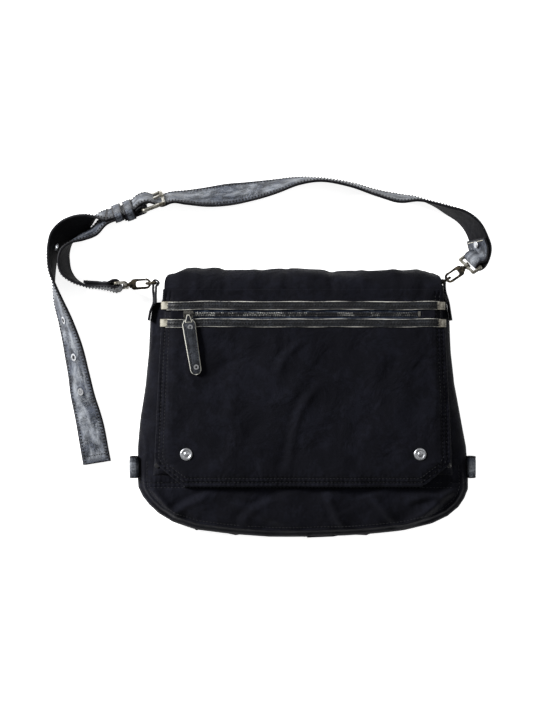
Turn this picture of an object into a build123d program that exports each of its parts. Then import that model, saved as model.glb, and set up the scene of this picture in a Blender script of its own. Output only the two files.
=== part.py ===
from build123d import *
import os
from math import atan, cos, degrees, hypot, radians, sin

# Messenger bag lying on its back, flap closed, shoulder strap spread beyond its mouth.
# Millimetres. +Z up from the surface the bag lies on, +Y towards the mouth, +X to the wearer's left.
# The origin is the centre of the back panel's outer face.

# ---- bag body ---------------------------------------------------------------------------
BODY_DEPTH = 36.0          # outer back face to outer front face
CLOTH = 1.6                # canvas thickness of the shell
LINING = 0.6               # lining cloth
LINING_GAP = 0.3           # slack between lining and shell
MOUTH_Y = 120.0            # top edge of the front panel and gussets
MOUTH_HALF = 176.0         # half width of the body at the mouth
SIDE_Y = -104.0            # where the straight sides end
SIDE_HALF = 197.0          # half width at the foot of the sides
CORNER_Y = -139.0          # lower corner of the outline
CORNER_HALF = 170.0
FOOT_Y = -159.0            # bottom edge
FOOT_HALF = 92.0
CORNER_R = 16.0
FOOT_R = 70.0
BAND_SEAM_Y = -98.0        # seam across the front, above the lower band

# ---- front pocket -----------------------------------------------------------------------
POCKET_ROOM = 5.0          # depth inside the pocket
POCKET_CLOTH = 1.4
POCKET_TOP_Y = 62.0
POCKET_FOOT_Y = -88.0
POCKET_TOP_HALF = 170.0
POCKET_FOOT_HALF = 181.0
RIVET_R = 3.0
RIVET_HIGH = 1.2
RIVET_IN = 6.0             # rivet centre in from the pocket's lower corners

# ---- flap -------------------------------------------------------------------------------
FLAP_GAP = 2.6             # pocket face to the flap's inner face
FACING = 1.0               # flap's inner cloth
FLAP_ROOM = 3.6            # facing to outer cloth, where the zip pocket lies
FLAP_CLOTH = 1.4
FLAP_TOP_HALF = 166.0
FLAP_WIDE_HALF = 176.5
FLAP_WIDE_Y = -72.0        # widest, where the cut corners start
FLAP_FOOT_Y = -100.0
FLAP_FOOT_HALF = 142.0
HEM = 9.0                  # turned edge of the flap
ROLL_Y = 135.0             # seam where the flap starts to roll over the mouth
ROLL_CLOTH = 2.0

# ---- zip --------------------------------------------------------------------------------
ZIP_Y = 105.0              # centre line of the zip
ZIP_WINDOW = 10.8          # between the two trim strips
TRIM_WIDE = 10.0
TRIM_THICK = 1.4
TRIM_END_IN = 3.0          # strip end in from the flap's edge
TRIM_TAB_LONG = 10.5
TRIM_TAB_THICK = 1.2
TRIM_TAB_WIDE = 9.2
TAPE = 0.6
TAPE_WIDE = 12.0
TEETH_WIDE = 2.2
TEETH_HIGH = 2.4
TEETH_GAP = 2.6            # between the two rows, for the slider's wedge
ZIP_START_X = -137.0       # slider's middle when the zip is shut
ZIP_END_X = 137.0          # closed end stop
STOP_LONG = 3.0
END_PATCH_X = 142.0        # inner edge of the cloth patches over the zip's ends
SLIDER_LONG = 12.0
SLIDER_WIDE = 9.0
SLIDER_PLATE = 1.0
SLIDER_GAP = 0.3
WEDGE_WIDE = 2.0
WEDGE_LONG = 3.0
BAIL_R = 0.7
BAIL_SPAN = 8.6
PULL_LOOP_R = 2.1
PULL_LOOP_HOLE = 0.95
PULL_LOOP_WIDE = 5.4
PULL_NECK = 7.0            # slider to the start of the puller's wide part
PULL_LONG = 66.0
PULL_TOP_WIDE = 16.0
PULL_FOOT_WIDE = 13.0
PULL_THICK = 2.6
PULL_TILT = 8.6            # degrees, foot towards +X
EYELET_R = 3.1
EYELET_HOLE = 1.3
EYELET_LIP = 0.4

# ---- snaps ------------------------------------------------------------------------------
SNAP_X = 139.5
SNAP_Y = -62.0
SNAP_R = 7.5
SNAP_CAP = 1.8
SNAP_DOT_R = 1.5
SNAP_SHANK_R = 1.9
SOCKET_R = 6.0
SOCKET_HIGH = 1.7
STUD_R = 2.5
STUD_CLEAR = 0.6
STUD_BASE_R = 6.0
STUD_BASE = 0.6

# ---- loops on the bag's sides -----------------------------------------------------------
SIDE_TAB_Y = -79.0
SIDE_TAB_LONG = 26.0
SIDE_TAB_OUT = 11.0
SIDE_TAB_HIGH = 24.0
SIDE_TAB_LEATHER = 2.0
TAB_LEATHER = 2.2          # leather of the two strap tabs
TAB_WIDE = 20.0
TAB_RUN = 24.0             # sewn length down the gusset

# ---- strap hardware ---------------------------------------------------------------------
RING_LEFT_X = -177.5       # bars of the two rings
RING_RIGHT_X = 168.0
RING_Y = 143.5
RING_Z = 24.0
RING_WIRE = 1.6
RING_BAR = 24.0
RING_DEEP = 11.0
HOOK_THICK = 5.0
HOOK_WIDE = 13.0
HOOK_METAL = 3.0
HOOK_LONG = 19.0           # ring wire to the swivel end of the hook
HOOK_NOSE = 5.2
GATE_CLEAR = 0.35
GATE_PIN_R = 0.9
SWIVEL_R = 2.4
SWIVEL_CLEAR = 0.2
EYE_FRONT = 23.5           # ring wire to the eye's near side
EYE_DEEP = 11.0
EYE_WIRE = 3.4
STRAP_SIDE_CLEAR = 1.0
LEFT_AIM = 184.0           # degrees, the way each hook points from its ring
RIGHT_AIM = 34.0
LEFT_LEAN = -6.0           # degrees, how far each eye leans from standing upright
RIGHT_LEAN = -29.0

# ---- shoulder strap ---------------------------------------------------------------------
STRAP_WIDE = 38.0
STRAP_LEATHER = 2.2
STRAP_BACKING = 1.0
PLY_GAP = 0.5              # between two plies that pass through one keeper
BUCKLE_LEAN = 24.0         # degrees, how far the strap leans back in the buckle
BUCKLE_AIM = 21.0          # degrees, from +X
BUCKLE_X = -194.0          # middle of the heel bar
BUCKLE_Y = 237.5
BUCKLE_LONG = 26.0         # heel bar to far bar
BUCKLE_SIDE = 4.5
BUCKLE_THICK = 4.0
BUCKLE_BAR_R = 1.9
PRONG_WIDE = 4.0
PRONG_THICK = 2.4
PRONG_SLOT = (7.5, 20.5)   # ends of the billet's slot, from the heel bar
PRONG_CLEAR = 0.35
KEEPER_THICK = 1.5
KEEPER_LONG = 11.0
KEEPER_CLEAR = 0.4
FIXED_KEEPER_BACK = 17.0   # middle of each keeper behind the heel bar
LOOSE_KEEPER_BACK = 31.0
KEEPER_EXIT = 46.0         # where the billet's free tail starts, behind the heel bar
TAIL_GAP = 0.5
FOLD_BACK_LONG = 25.0      # end folded back round the heel bar
CHAPE_RIVET_R = 4.2
CHAPE_RIVET_HIGH = 1.2
CHAPE_RIVET_LIFT = 0.6     # how far its head stands off where the plies curve

# Middle of the strap, seen from above, as (x, y, lean). The lean is 0 where the strap stands
# on its edge with its leather outwards, and 90 where it lies flat with its leather up.
LONG_ROUTE = [
    (215.5, 184, -29), (213.5, 197, -28), (206, 212, -25), (193, 224, -17), (176, 232, -7),
    (160, 239, 2),
    (140, 245, 9), (118, 246, 18), (92, 252, 14), (56, 263, 10), (20, 268.5, 9),
    (-6, 267, 17), (-32, 261, 29), (-62, 255, 40), (-92, 251, 47), (-118, 248, 40),
    (-140, 247.5, 30),
]
SHORT_ROUTE = [
    (-248, 139.5, 2), (-264, 141, 0), (-277, 147, -5), (-286.5, 157, -13), (-289.5, 170, -14),
    (-287.5, 183, -8), (-280, 193, 6), (-268, 199.5, 17), (-254, 205.5, 21),
]
TAIL_ROUTE = [
    (-250, 224.5, 12), (-260, 220, 1), (-273, 214, -11), (-286, 207, -20), (-295, 199, -20),
    (-300, 188, -17), (-303, 176, -11), (-303.5, 158, -3), (-301, 142, 8), (-296, 122, 20), (-288, 99, 29),
    (-276, 54, 43), (-272, 34, 46), (-268, 12, 52), (-257.5, -33, 64), (-250, -75, 68),
]
TAIL_HOLES = [6, 11, 12, 14]    # stations of the tail with an eyelet hole at their middle, from 0
TAIL_HOLE_R = 2.6
EYELET_RING_R = 4.6

# ---- worked out from the sizes above ----------------------------------------------------
POCKET_Z = BODY_DEPTH + POCKET_ROOM
POCKET_FACE_Z = POCKET_Z + POCKET_CLOTH
FLAP_Z = POCKET_FACE_Z + FLAP_GAP
FLAP_OUT_Z = FLAP_Z + FACING + FLAP_ROOM
FLAP_FACE_Z = FLAP_OUT_Z + FLAP_CLOTH
TRIM_Z = FLAP_FACE_Z + TRIM_THICK
TAPE_Z = FLAP_OUT_Z - TAPE
TEETH_Z = TAPE_Z + TAPE / 2
STRAP_THICK = STRAP_LEATHER + STRAP_BACKING
EYE_WIDE = STRAP_WIDE + 2 * STRAP_SIDE_CLEAR + 2 * EYE_WIRE
BUCKLE_WIDE = STRAP_WIDE + 2 * STRAP_SIDE_CLEAR + 2 * BUCKLE_SIDE
PLY_STEP = STRAP_THICK + PLY_GAP

os.makedirs("parts", exist_ok=True)


def save(name, shape):
    """Write one node and return it."""
    shape.label = name
    export_step(shape, f"parts/{name}.step")
    return shape


def slab(face, low, high):
    """A flat face drawn at height 0, made solid from low to high."""
    return Pos(0, 0, low) * extrude(face, high - low)


def box_between(low, high):
    """A box given by two opposite corners."""
    size = [b - a for a, b in zip(low, high)]
    mid = [(a + b) / 2 for a, b in zip(low, high)]
    return Pos(*mid) * Box(*size)


def mirrored(points):
    """Close an outline given by its right half, from bottom to top."""
    return points + [(-x, y) for x, y in reversed(points)]


def outline(points):
    """A filled polygon."""
    return make_face(Polyline(*points, close=True))


# ---- bag body ---------------------------------------------------------------------------
def body_outline(inset=0.0, top=MOUTH_Y):
    """The trapezoid of the body with its rounded foot, drawn in by an inset."""
    slope = (SIDE_HALF - MOUTH_HALF) / (MOUTH_Y - SIDE_Y)
    right = [
        (FOOT_HALF, FOOT_Y + inset),
        (CORNER_HALF - inset * 0.7, CORNER_Y + inset * 0.8),
        (SIDE_HALF - inset, SIDE_Y + inset * 0.3),
        (MOUTH_HALF - inset - slope * (top - MOUTH_Y), top),
    ]
    face = outline(mirrored(right))
    low = [v for v in face.vertices() if v.Y < SIDE_Y + 2 * CLOTH]
    foot = [v for v in low if v.Y < FOOT_Y + 2 * CLOTH]
    rest = [v for v in low if v.Y >= FOOT_Y + 2 * CLOTH]
    face = fillet(foot, FOOT_R)
    near = [v for v in face.vertices() if any(hypot(v.X - r.X, v.Y - r.Y) < 0.01 for r in rest)]
    return fillet(near, CORNER_R)


def make_shell():
    """Back panel, front panel, lower band and the three gusset strips."""
    save("back_panel", slab(body_outline(top=ROLL_Y), 0, CLOTH))
    front = slab(body_outline(), BODY_DEPTH - CLOTH, BODY_DEPTH)
    far = 2 * SIDE_HALF
    below = box_between((-far, FOOT_Y - far, 0), (far, BAND_SEAM_Y, 2 * BODY_DEPTH))
    save("front_panel", front - below)
    save("front_lower_band", front & below)
    wall = slab(body_outline(), CLOTH, BODY_DEPTH - CLOTH)
    wall -= slab(body_outline(CLOTH, MOUTH_Y + CLOTH), 0, BODY_DEPTH)
    foot = box_between((-far, FOOT_Y - far, 0), (far, SIDE_Y - CLOTH, BODY_DEPTH))
    right = box_between((0, SIDE_Y - CLOTH, 0), (far, far, BODY_DEPTH))
    save("gusset_bottom", wall & foot)
    save("gusset_right", wall & right)
    save("gusset_left", wall & mirror(right, Plane.YZ))


def make_lining():
    """The two cloths of the lining, just inside the shell."""
    inset = CLOTH + LINING_GAP
    face = body_outline(inset, MOUTH_Y - 2 * CLOTH)
    low = CLOTH + LINING_GAP
    high = BODY_DEPTH - CLOTH - LINING_GAP
    save("lining_back", slab(face, low, low + LINING))
    save("lining_front", slab(face, high - LINING, high))


def pocket_outline(inset=0.0, top=POCKET_TOP_Y):
    right = [(POCKET_FOOT_HALF - inset, POCKET_FOOT_Y + inset), (POCKET_TOP_HALF - inset, top)]
    return outline(mirrored(right))


def make_pocket():
    """Patch pocket with a turned wall along its sides and foot, open at its top."""
    tray = slab(pocket_outline(), BODY_DEPTH, POCKET_FACE_Z)
    tray -= slab(pocket_outline(POCKET_CLOTH, POCKET_TOP_Y + CLOTH), 0, POCKET_Z)
    places = [Pos(s * (POCKET_FOOT_HALF - RIVET_IN), POCKET_FOOT_Y + RIVET_IN * 2, 0) for s in (-1, 1)]
    rivets = []
    for place in places:
        tray -= place * Pos(0, 0, POCKET_Z) * Cylinder(1.0, 3 * POCKET_CLOTH)
        head = Pos(0, 0, POCKET_FACE_Z + RIVET_HIGH / 2) * Cylinder(RIVET_R, RIVET_HIGH)
        shank = Pos(0, 0, POCKET_FACE_Z - POCKET_CLOTH / 2) * Cylinder(1.0, POCKET_CLOTH)
        rivets.append(place * fillet((head + shank).edges().group_by(Axis.Z)[-1], RIVET_HIGH / 2))
    save("front_pocket", tray)
    save("pocket_rivets", Compound(children=rivets))


# ---- flap -------------------------------------------------------------------------------
def flap_edge(y):
    """Half width of the flap at a height, above its cut corners."""
    share = (ROLL_Y - y) / (ROLL_Y - FLAP_WIDE_Y)
    return FLAP_TOP_HALF + share * (FLAP_WIDE_HALF - FLAP_TOP_HALF)


def flap_outline(inset=0.0, top=ROLL_Y):
    right = [
        (FLAP_FOOT_HALF - inset * 0.6, FLAP_FOOT_Y + inset),
        (FLAP_WIDE_HALF - inset, FLAP_WIDE_Y + inset * 0.6),
        (FLAP_TOP_HALF - inset, top),
    ]
    return outline(mirrored(right))


def snap_places():
    return [Pos(side * SNAP_X, SNAP_Y, 0) for side in (-1, 1)]


def with_snap_holes(shape, low, high):
    for place in snap_places():
        mid = (low + high) / 2
        shape -= place * Pos(0, 0, mid) * Cylinder(SNAP_SHANK_R, 2 * (high - low))
    return shape


def make_flap_cloth():
    """Facing, pocket bag and the two outer panels that the zip parts."""
    facing = slab(flap_outline(), FLAP_Z, FLAP_Z + FACING)
    save("flap_facing", with_snap_holes(facing, FLAP_Z, FLAP_Z + FACING))
    bag_low = FLAP_Z + FACING
    bag_face = flap_outline(2 * HEM, ZIP_Y + ZIP_WINDOW)
    bag = slab(bag_face, bag_low, bag_low + LINING)
    save("flap_pocket_bag", with_snap_holes(bag, bag_low, bag_low + LINING))
    outer = slab(flap_outline(), FLAP_Z + FACING, FLAP_FACE_Z)
    outer -= slab(flap_outline(HEM, ROLL_Y + HEM), 0, FLAP_OUT_Z)
    half = ZIP_WINDOW / 2
    far = 2 * SIDE_HALF
    window = box_between((-far, ZIP_Y - half, 0), (far, ZIP_Y + half, 2 * FLAP_FACE_Z))
    above = box_between((-far, ZIP_Y, 0), (far, far, 2 * FLAP_FACE_Z))
    save("flap_upper_panel", (outer - window) & above)
    lower = with_snap_holes((outer - window) - above, FLAP_Z, FLAP_FACE_Z)
    save("flap_lower_panel", lower)


def make_roll():
    """The cloth that rolls from the back panel over the mouth into the flap."""
    radius = FLAP_FACE_Z / 2
    ring = Circle(radius) - Circle(radius - ROLL_CLOTH)
    half = ring & Pos(radius, 0) * Rectangle(2 * radius, 2 * radius)
    profile = Plane(origin=(-FLAP_TOP_HALF, ROLL_Y, radius), x_dir=(0, 1, 0), z_dir=(1, 0, 0))
    save("flap_roll", extrude(profile * half, 2 * FLAP_TOP_HALF))


# ---- zip --------------------------------------------------------------------------------
def make_zip():
    """Two tapes, two rows of teeth, the end stop, end patches and leather trim."""
    half = ZIP_WINDOW / 2
    reach = flap_edge(ZIP_Y) - HEM - 0.5
    row = TEETH_GAP / 2
    far_row = row + TEETH_WIDE
    left = ZIP_START_X - SLIDER_LONG / 2
    for name, side in (("upper", 1), ("lower", -1)):
        def across(a, b, y0, y1, z0, z1):
            low, high = sorted((ZIP_Y + side * y0, ZIP_Y + side * y1))
            return box_between((a, low, z0), (b, high, z1))
        teeth = across(left, ZIP_END_X, row, far_row, TEETH_Z - TEETH_HIGH / 2,
                       TEETH_Z + TEETH_HIGH / 2)
        tape = across(-reach, reach, row + 0.8, TAPE_WIDE, TAPE_Z, TAPE_Z + TAPE)
        save(f"zip_tape_{name}", tape - teeth)
        save(f"zip_teeth_{name}", teeth)
        edge = flap_edge(ZIP_Y) - TRIM_END_IN
        strip = across(-edge, edge, half, half + TRIM_WIDE, FLAP_FACE_Z, TRIM_Z)
        save(f"trim_strip_{name}", strip)
    stop = box_between((ZIP_END_X, ZIP_Y - far_row, TEETH_Z - TEETH_HIGH / 2),
                       (ZIP_END_X + STOP_LONG, ZIP_Y + far_row, TEETH_Z + TEETH_HIGH / 2))
    for shape_side in (-1, 1):
        low, high = sorted((shape_side * (row + 0.8), shape_side * far_row))
        stop -= box_between((ZIP_END_X - 1, ZIP_Y + low, TAPE_Z),
                            (ZIP_END_X + 2 * STOP_LONG, ZIP_Y + high, TAPE_Z + TAPE))
    save("zip_end_stop", stop)
    patch_end = flap_edge(ZIP_Y) - HEM
    patches = []
    for side in (-1, 1):
        inner = side * (END_PATCH_X + (6 if side < 0 else 0))
        low, high = sorted((inner, side * patch_end))
        patches.append(box_between((low, ZIP_Y - half + 0.1, FLAP_OUT_Z + 0.9),
                                   (high, ZIP_Y + half - 0.1, FLAP_FACE_Z)))
    save("zip_end_patches", Compound(children=patches))


def make_trim_tabs():
    """Leather wraps over the ends of the trim strips, round the flap's edge."""
    for row, offset in (("upper", 1), ("lower", -1)):
        middle = ZIP_Y + offset * (ZIP_WINDOW + TRIM_WIDE) / 2
        edge = flap_edge(middle - TRIM_TAB_WIDE / 2) + 0.1
        out = edge + TRIM_TAB_THICK
        shell = box_between((edge - TRIM_TAB_LONG, -TRIM_TAB_WIDE / 2, FLAP_Z - TRIM_TAB_THICK),
                            (out, TRIM_TAB_WIDE / 2, TRIM_Z + TRIM_TAB_THICK))
        shell -= box_between((0, -TRIM_TAB_WIDE, FLAP_Z), (edge, TRIM_TAB_WIDE, TRIM_Z))
        tab = Pos(0, middle, 0) * shell
        save(f"trim_tab_{row}_right", tab)
        save(f"trim_tab_{row}_left", mirror(tab, Plane.YZ))


def make_slider():
    """Slider body: two plates, the wedge between them, and the bail on top."""
    low = TEETH_Z - TEETH_HIGH / 2 - SLIDER_GAP
    high = TEETH_Z + TEETH_HIGH / 2 + SLIDER_GAP
    plate = fillet(Rectangle(SLIDER_LONG, SLIDER_WIDE).vertices(), SLIDER_WIDE / 4)
    body = slab(plate, low - SLIDER_PLATE, low) + slab(plate, high, high + SLIDER_PLATE)
    wedge_x = -SLIDER_LONG / 2 + WEDGE_LONG / 2
    body += Pos(wedge_x, 0, (low + high) / 2) * Box(WEDGE_LONG, WEDGE_WIDE, high - low + 1)
    top = high + SLIDER_PLATE
    bar_z = top + PULL_LOOP_R + SLIDER_GAP
    bar = Pos(0, 0, bar_z) * Rot(0, 90, 0) * Cylinder(BAIL_R, BAIL_SPAN)
    body += bar
    for side in (-1, 1):
        leg_x = side * (BAIL_SPAN / 2 - 0.4)
        body += box_between((leg_x - 0.5, -1.2, top - 0.2), (leg_x + 0.5, 1.2, bar_z + BAIL_R))
    save("zip_slider", Pos(ZIP_START_X, ZIP_Y, 0) * body)
    return bar_z


def make_puller(bar_z):
    """Leather puller looped through the bail, with an eyelet near each end."""
    ring = Circle(PULL_LOOP_R) + Pos(-PULL_NECK / 2, 0) * Rectangle(PULL_NECK, 2 * PULL_LOOP_R)
    ring -= Circle(PULL_LOOP_HOLE)
    ring -= Pos(-PULL_NECK / 4, 0) * Rectangle(PULL_NECK / 2, 2 * PULL_LOOP_HOLE)
    side = Plane(origin=(-PULL_LOOP_WIDE / 2, 0, 0), x_dir=(0, 1, 0), z_dir=(1, 0, 0))
    loop = extrude(side * ring, PULL_LOOP_WIDE)
    window = ZIP_WINDOW / 2 - 0.8
    loop -= box_between((-9, -PULL_LONG, -9), (9, -window, -PULL_THICK / 2))
    foot = -PULL_NECK - PULL_LONG
    body = outline(mirrored([(PULL_FOOT_WIDE / 2, foot), (PULL_TOP_WIDE / 2, -PULL_NECK)]))
    body = fillet(body.vertices(), PULL_FOOT_WIDE / 5)
    tilt = Rot(0, 0, PULL_TILT)
    pull = loop + tilt * slab(body, -PULL_THICK / 2, PULL_THICK / 2)
    eyelets = []
    for share in (0.13, 0.86):
        spot = tilt * Pos(0, -PULL_NECK - share * PULL_LONG, 0)
        pull -= spot * Cylinder(EYELET_R - 0.9, 3 * PULL_THICK)
        barrel = Cylinder(EYELET_R - 0.9, PULL_THICK)
        lip = Pos(0, 0, PULL_THICK / 2 + EYELET_LIP / 2) * Cylinder(EYELET_R, EYELET_LIP)
        eyelets.append(spot * (barrel + lip - Cylinder(EYELET_HOLE, 3 * PULL_THICK)))
    lift = PULL_THICK / 2 + TRIM_Z + SLIDER_GAP - bar_z
    assert lift <= 0.01, "the puller must clear the trim"
    place = Pos(ZIP_START_X, ZIP_Y, bar_z)
    save("zip_pull", place * pull)
    save("zip_pull_eyelets", place * Compound(children=eyelets))


# ---- snaps ------------------------------------------------------------------------------
def make_snaps():
    """Cap and shank, socket under the flap, and stud on the pocket."""
    cap = Pos(0, 0, FLAP_FACE_Z + SNAP_CAP / 2) * Cylinder(SNAP_R, SNAP_CAP)
    cap = fillet(cap.edges().group_by(Axis.Z)[-1], SNAP_CAP * 0.6)
    dish = Pos(0, 0, FLAP_FACE_Z + SNAP_CAP) * Cylinder(SNAP_R * 0.6, SNAP_CAP * 0.7)
    dot = Pos(0, 0, FLAP_FACE_Z + SNAP_CAP * 0.7) * Cylinder(SNAP_DOT_R, SNAP_CAP * 0.5)
    shank_z = (FLAP_Z + FLAP_FACE_Z) / 2
    shank = Pos(0, 0, shank_z) * Cylinder(SNAP_SHANK_R, FLAP_FACE_Z - FLAP_Z)
    cap = cap - dish + dot + shank
    socket = Pos(0, 0, FLAP_Z - SOCKET_HIGH / 2) * Cylinder(SOCKET_R, SOCKET_HIGH)
    socket -= Pos(0, 0, FLAP_Z - SOCKET_HIGH) * Cylinder(STUD_R + STUD_CLEAR, 2 * (SOCKET_HIGH - 0.3))
    base = Pos(0, 0, POCKET_FACE_Z + STUD_BASE / 2) * Cylinder(STUD_BASE_R, STUD_BASE)
    stud_high = FLAP_GAP - 0.7
    stud = base + Pos(0, 0, POCKET_FACE_Z + stud_high / 2) * Cylinder(STUD_R, stud_high)
    save("snap_caps", Compound(children=[place * cap for place in snap_places()]))
    save("snap_sockets", Compound(children=[place * socket for place in snap_places()]))
    save("snap_studs", Compound(children=[place * stud for place in snap_places()]))


# ---- loops and tabs ---------------------------------------------------------------------
def body_side(y):
    """Half width of the body at a height."""
    return MOUTH_HALF + (SIDE_HALF - MOUTH_HALF) * (MOUTH_Y - y) / (MOUTH_Y - SIDE_Y)


def make_side_loops():
    """A leather loop sewn to each gusset, open along Y."""
    high = SIDE_TAB_HIGH
    out = SIDE_TAB_OUT
    ring = Rectangle(out, high) - Pos(-SIDE_TAB_LEATHER, 0) * Rectangle(
        out, high - 2 * SIDE_TAB_LEATHER)
    pads = Pos(-out / 2 + SIDE_TAB_LEATHER / 2, 0) * Rectangle(SIDE_TAB_LEATHER, high)
    ring += pads
    tab = extrude(Plane(origin=(0, -SIDE_TAB_LONG / 2, 0), x_dir=(1, 0, 0), z_dir=(0, 1, 0))
                  * ring, SIDE_TAB_LONG)
    lean = (SIDE_HALF - MOUTH_HALF) / (MOUTH_Y - SIDE_Y)
    right = Pos(body_side(SIDE_TAB_Y) + out / 2 + 0.05, SIDE_TAB_Y, BODY_DEPTH / 2)
    tab = right * Rot(0, 0, degrees(atan(lean))) * tab
    save("side_loop_right", tab)
    save("side_loop_left", mirror(tab, Plane.YZ))


def strap_tab(across):
    """Leather tab sewn to the right gusset and folded round a ring's bar at a distance across."""
    hole = RING_WIRE + 0.5
    outer = hole + TAB_LEATHER
    foot = MOUTH_Y - TAB_RUN
    low_x = body_side(foot) + 0.1
    top_x = body_side(MOUTH_Y) + 0.1
    eye = Pos(across, RING_Y) * (Circle(outer) - Circle(hole))
    leg = outline([
        (low_x, foot), (low_x + TAB_LEATHER, foot), (top_x + TAB_LEATHER, MOUTH_Y),
        (across + outer - 0.2, RING_Y - 1), (across - outer + 1.5, RING_Y - 2),
        (top_x, MOUTH_Y + 0.1),
    ])
    profile = (leg + eye) - Pos(across, RING_Y) * Circle(hole)
    return slab(profile, RING_Z - TAB_WIDE / 2, RING_Z + TAB_WIDE / 2)


def make_strap_tabs():
    save("strap_tab_right", strap_tab(RING_RIGHT_X))
    save("strap_tab_left", mirror(strap_tab(-RING_LEFT_X), Plane.YZ))


# ---- strap hardware ---------------------------------------------------------------------
def ring_x(side):
    return RING_RIGHT_X if side > 0 else RING_LEFT_X


def hardware_frame(side, aim):
    """Place of one ring's bar, with +x the way the hook points."""
    return Pos(ring_x(side), RING_Y, RING_Z) * Rot(0, 0, aim)


def make_ring():
    """D ring standing on its bar: straight bar along Z, bow towards +x."""
    wide = RING_BAR / 2
    bow = RING_DEEP - wide * 0.45
    path = Polyline((0, -wide), (0, wide), (bow, wide), (RING_DEEP, wide * 0.55),
                    (RING_DEEP, -wide * 0.55), (bow, -wide), close=True)
    path = fillet(path.vertices(), RING_WIRE * 1.6)
    path = Plane(origin=(0, 0, 0), x_dir=(1, 0, 0), z_dir=(0, -1, 0)) * path
    start = path.edges().sort_by(Axis.X)[0]
    section = Plane(origin=start @ 0.5, z_dir=start % 0.5) * Circle(RING_WIRE)
    return sweep(section, path=path)


def make_hook():
    """Snap hook lying flat, its mouth round the ring's wire, and its gate."""
    half = HOOK_WIDE / 2
    back = HOOK_LONG
    blank = outline([(-HOOK_NOSE, -half), (back, -half), (back, half), (-HOOK_NOSE, half)])
    near = [v for v in blank.vertices() if v.X < 0]
    blank = fillet(near, half - 0.1)
    far = [v for v in blank.vertices() if v.X > back - 0.1]
    blank = fillet(far, half * 0.55)
    inner = half - HOOK_METAL
    room = outline([(-HOOK_NOSE + HOOK_METAL, -inner), (back - 2 * HOOK_METAL, -inner),
                    (back - 2 * HOOK_METAL, inner), (-HOOK_NOSE + HOOK_METAL, inner)])
    room = fillet(room.vertices(), inner * 0.6)
    gate_tip = 1.0
    gate_back = back - 2 * HOOK_METAL
    mouth = Pos((gate_tip + gate_back) / 2, -half) * Rectangle(gate_back - gate_tip, 2 * HOOK_METAL)
    body = slab(blank - room - mouth, -HOOK_THICK / 2, HOOK_THICK / 2)
    pin_x = gate_back - 2.0
    gate_end = pin_x + 1.25
    pin_y = -half + HOOK_METAL / 2
    gate = outline([(gate_tip + GATE_CLEAR, -half + 0.3), (gate_end, -half + 0.3),
                    (gate_end, -inner - 0.2), (gate_tip + GATE_CLEAR, -inner - 0.2)])
    gate = slab(gate, -HOOK_THICK / 2 + 1.1, HOOK_THICK / 2 - 1.1)
    cheeks = Pos(pin_x + 0.5, pin_y) * Rectangle(4, HOOK_METAL)
    for low in (-HOOK_THICK / 2, HOOK_THICK / 2 - 0.8):
        body += slab(cheeks, low, low + 0.8)
    pin = Pos(pin_x, pin_y, 0) * Cylinder(GATE_PIN_R, HOOK_THICK)
    gate -= Pos(pin_x, pin_y, 0) * Cylinder(GATE_PIN_R + 0.08, 2 * HOOK_THICK)
    body += pin
    collar = Pos(back + 1, 0, 0) * Rot(0, 90, 0) * Cylinder(SWIVEL_R + 1.6, 2)
    head_x = EYE_FRONT + EYE_WIRE + 0.3
    post = Pos((back + head_x) / 2, 0, 0) * Rot(0, 90, 0) * Cylinder(SWIVEL_R, head_x - back + 2)
    head = Pos(head_x + 0.8, 0, 0) * Rot(0, 90, 0) * Cylinder(SWIVEL_R + 1.2, 1.6)
    return Pos(RING_DEEP, 0, 0) * (body + collar + post + head), Pos(RING_DEEP, 0, 0) * gate


def make_eye(lean):
    """Rectangular eye for the strap, turned on the swivel so that it stands on its side."""
    frame = Rectangle(EYE_DEEP + EYE_WIRE, EYE_WIDE)
    frame = fillet(frame.vertices(), EYE_WIRE * 0.9)
    frame -= Rectangle(EYE_DEEP - EYE_WIRE, EYE_WIDE - 2 * EYE_WIRE)
    eye = slab(frame, -EYE_WIRE / 2, EYE_WIRE / 2)
    eye = fillet(eye.edges().group_by(Axis.Z)[-1] + eye.edges().group_by(Axis.Z)[0], 0.7)
    boss_x = -EYE_DEEP / 2
    eye += Pos(boss_x, 0, 0) * Rot(0, 90, 0) * Cylinder(SWIVEL_R + 2.0, EYE_WIRE)
    eye -= Pos(boss_x, 0, 0) * Rot(0, 90, 0) * Cylinder(SWIVEL_R + SWIVEL_CLEAR, 4 * EYE_WIRE)
    middle = RING_DEEP + EYE_FRONT + EYE_WIRE / 2 + EYE_DEEP / 2
    return Pos(middle, 0, 0) * Rot(90 - lean, 0, 0) * eye


def make_hardware():
    for name, side, aim, lean in (("left", -1, LEFT_AIM, LEFT_LEAN), ("right", 1, RIGHT_AIM, RIGHT_LEAN)):
        place = hardware_frame(side, aim)
        hook, gate = make_hook()
        if side > 0:
            hook = mirror(hook, Plane.XZ)
            gate = mirror(gate, Plane.XZ)
        save(f"ring_{name}", place * make_ring())
        save(f"hook_body_{name}", place * hook)
        save(f"hook_gate_{name}", place * gate)
        save(f"hook_eye_{name}", place * make_eye(lean))


# ---- shoulder strap ---------------------------------------------------------------------
def level(lean):
    """Height of the strap's middle where it rests on the surface at a lean."""
    high = STRAP_WIDE / 2 * cos(radians(lean)) + STRAP_THICK / 2 * abs(sin(radians(lean)))
    return high + 0.3


def station(x, y, lean, z=None, shift=0.0, aim=None):
    """One place on the strap: middle, lean, shift along its leather's normal, and heading."""
    return {"at": Vector(x, y, level(lean) if z is None else z), "lean": lean, "shift": shift,
            "aim": aim}


def headings(stations):
    """Unit heading in the floor's plane at each station."""
    result = []
    last = len(stations) - 1
    for i, spot in enumerate(stations):
        if spot["aim"] is not None:
            result.append(Vector(cos(radians(spot["aim"])), sin(radians(spot["aim"])), 0))
            continue
        run = stations[min(i + 1, last)]["at"] - stations[max(i - 1, 0)]["at"]
        result.append(Vector(run.X, run.Y, 0).normalized())
    return result


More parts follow.
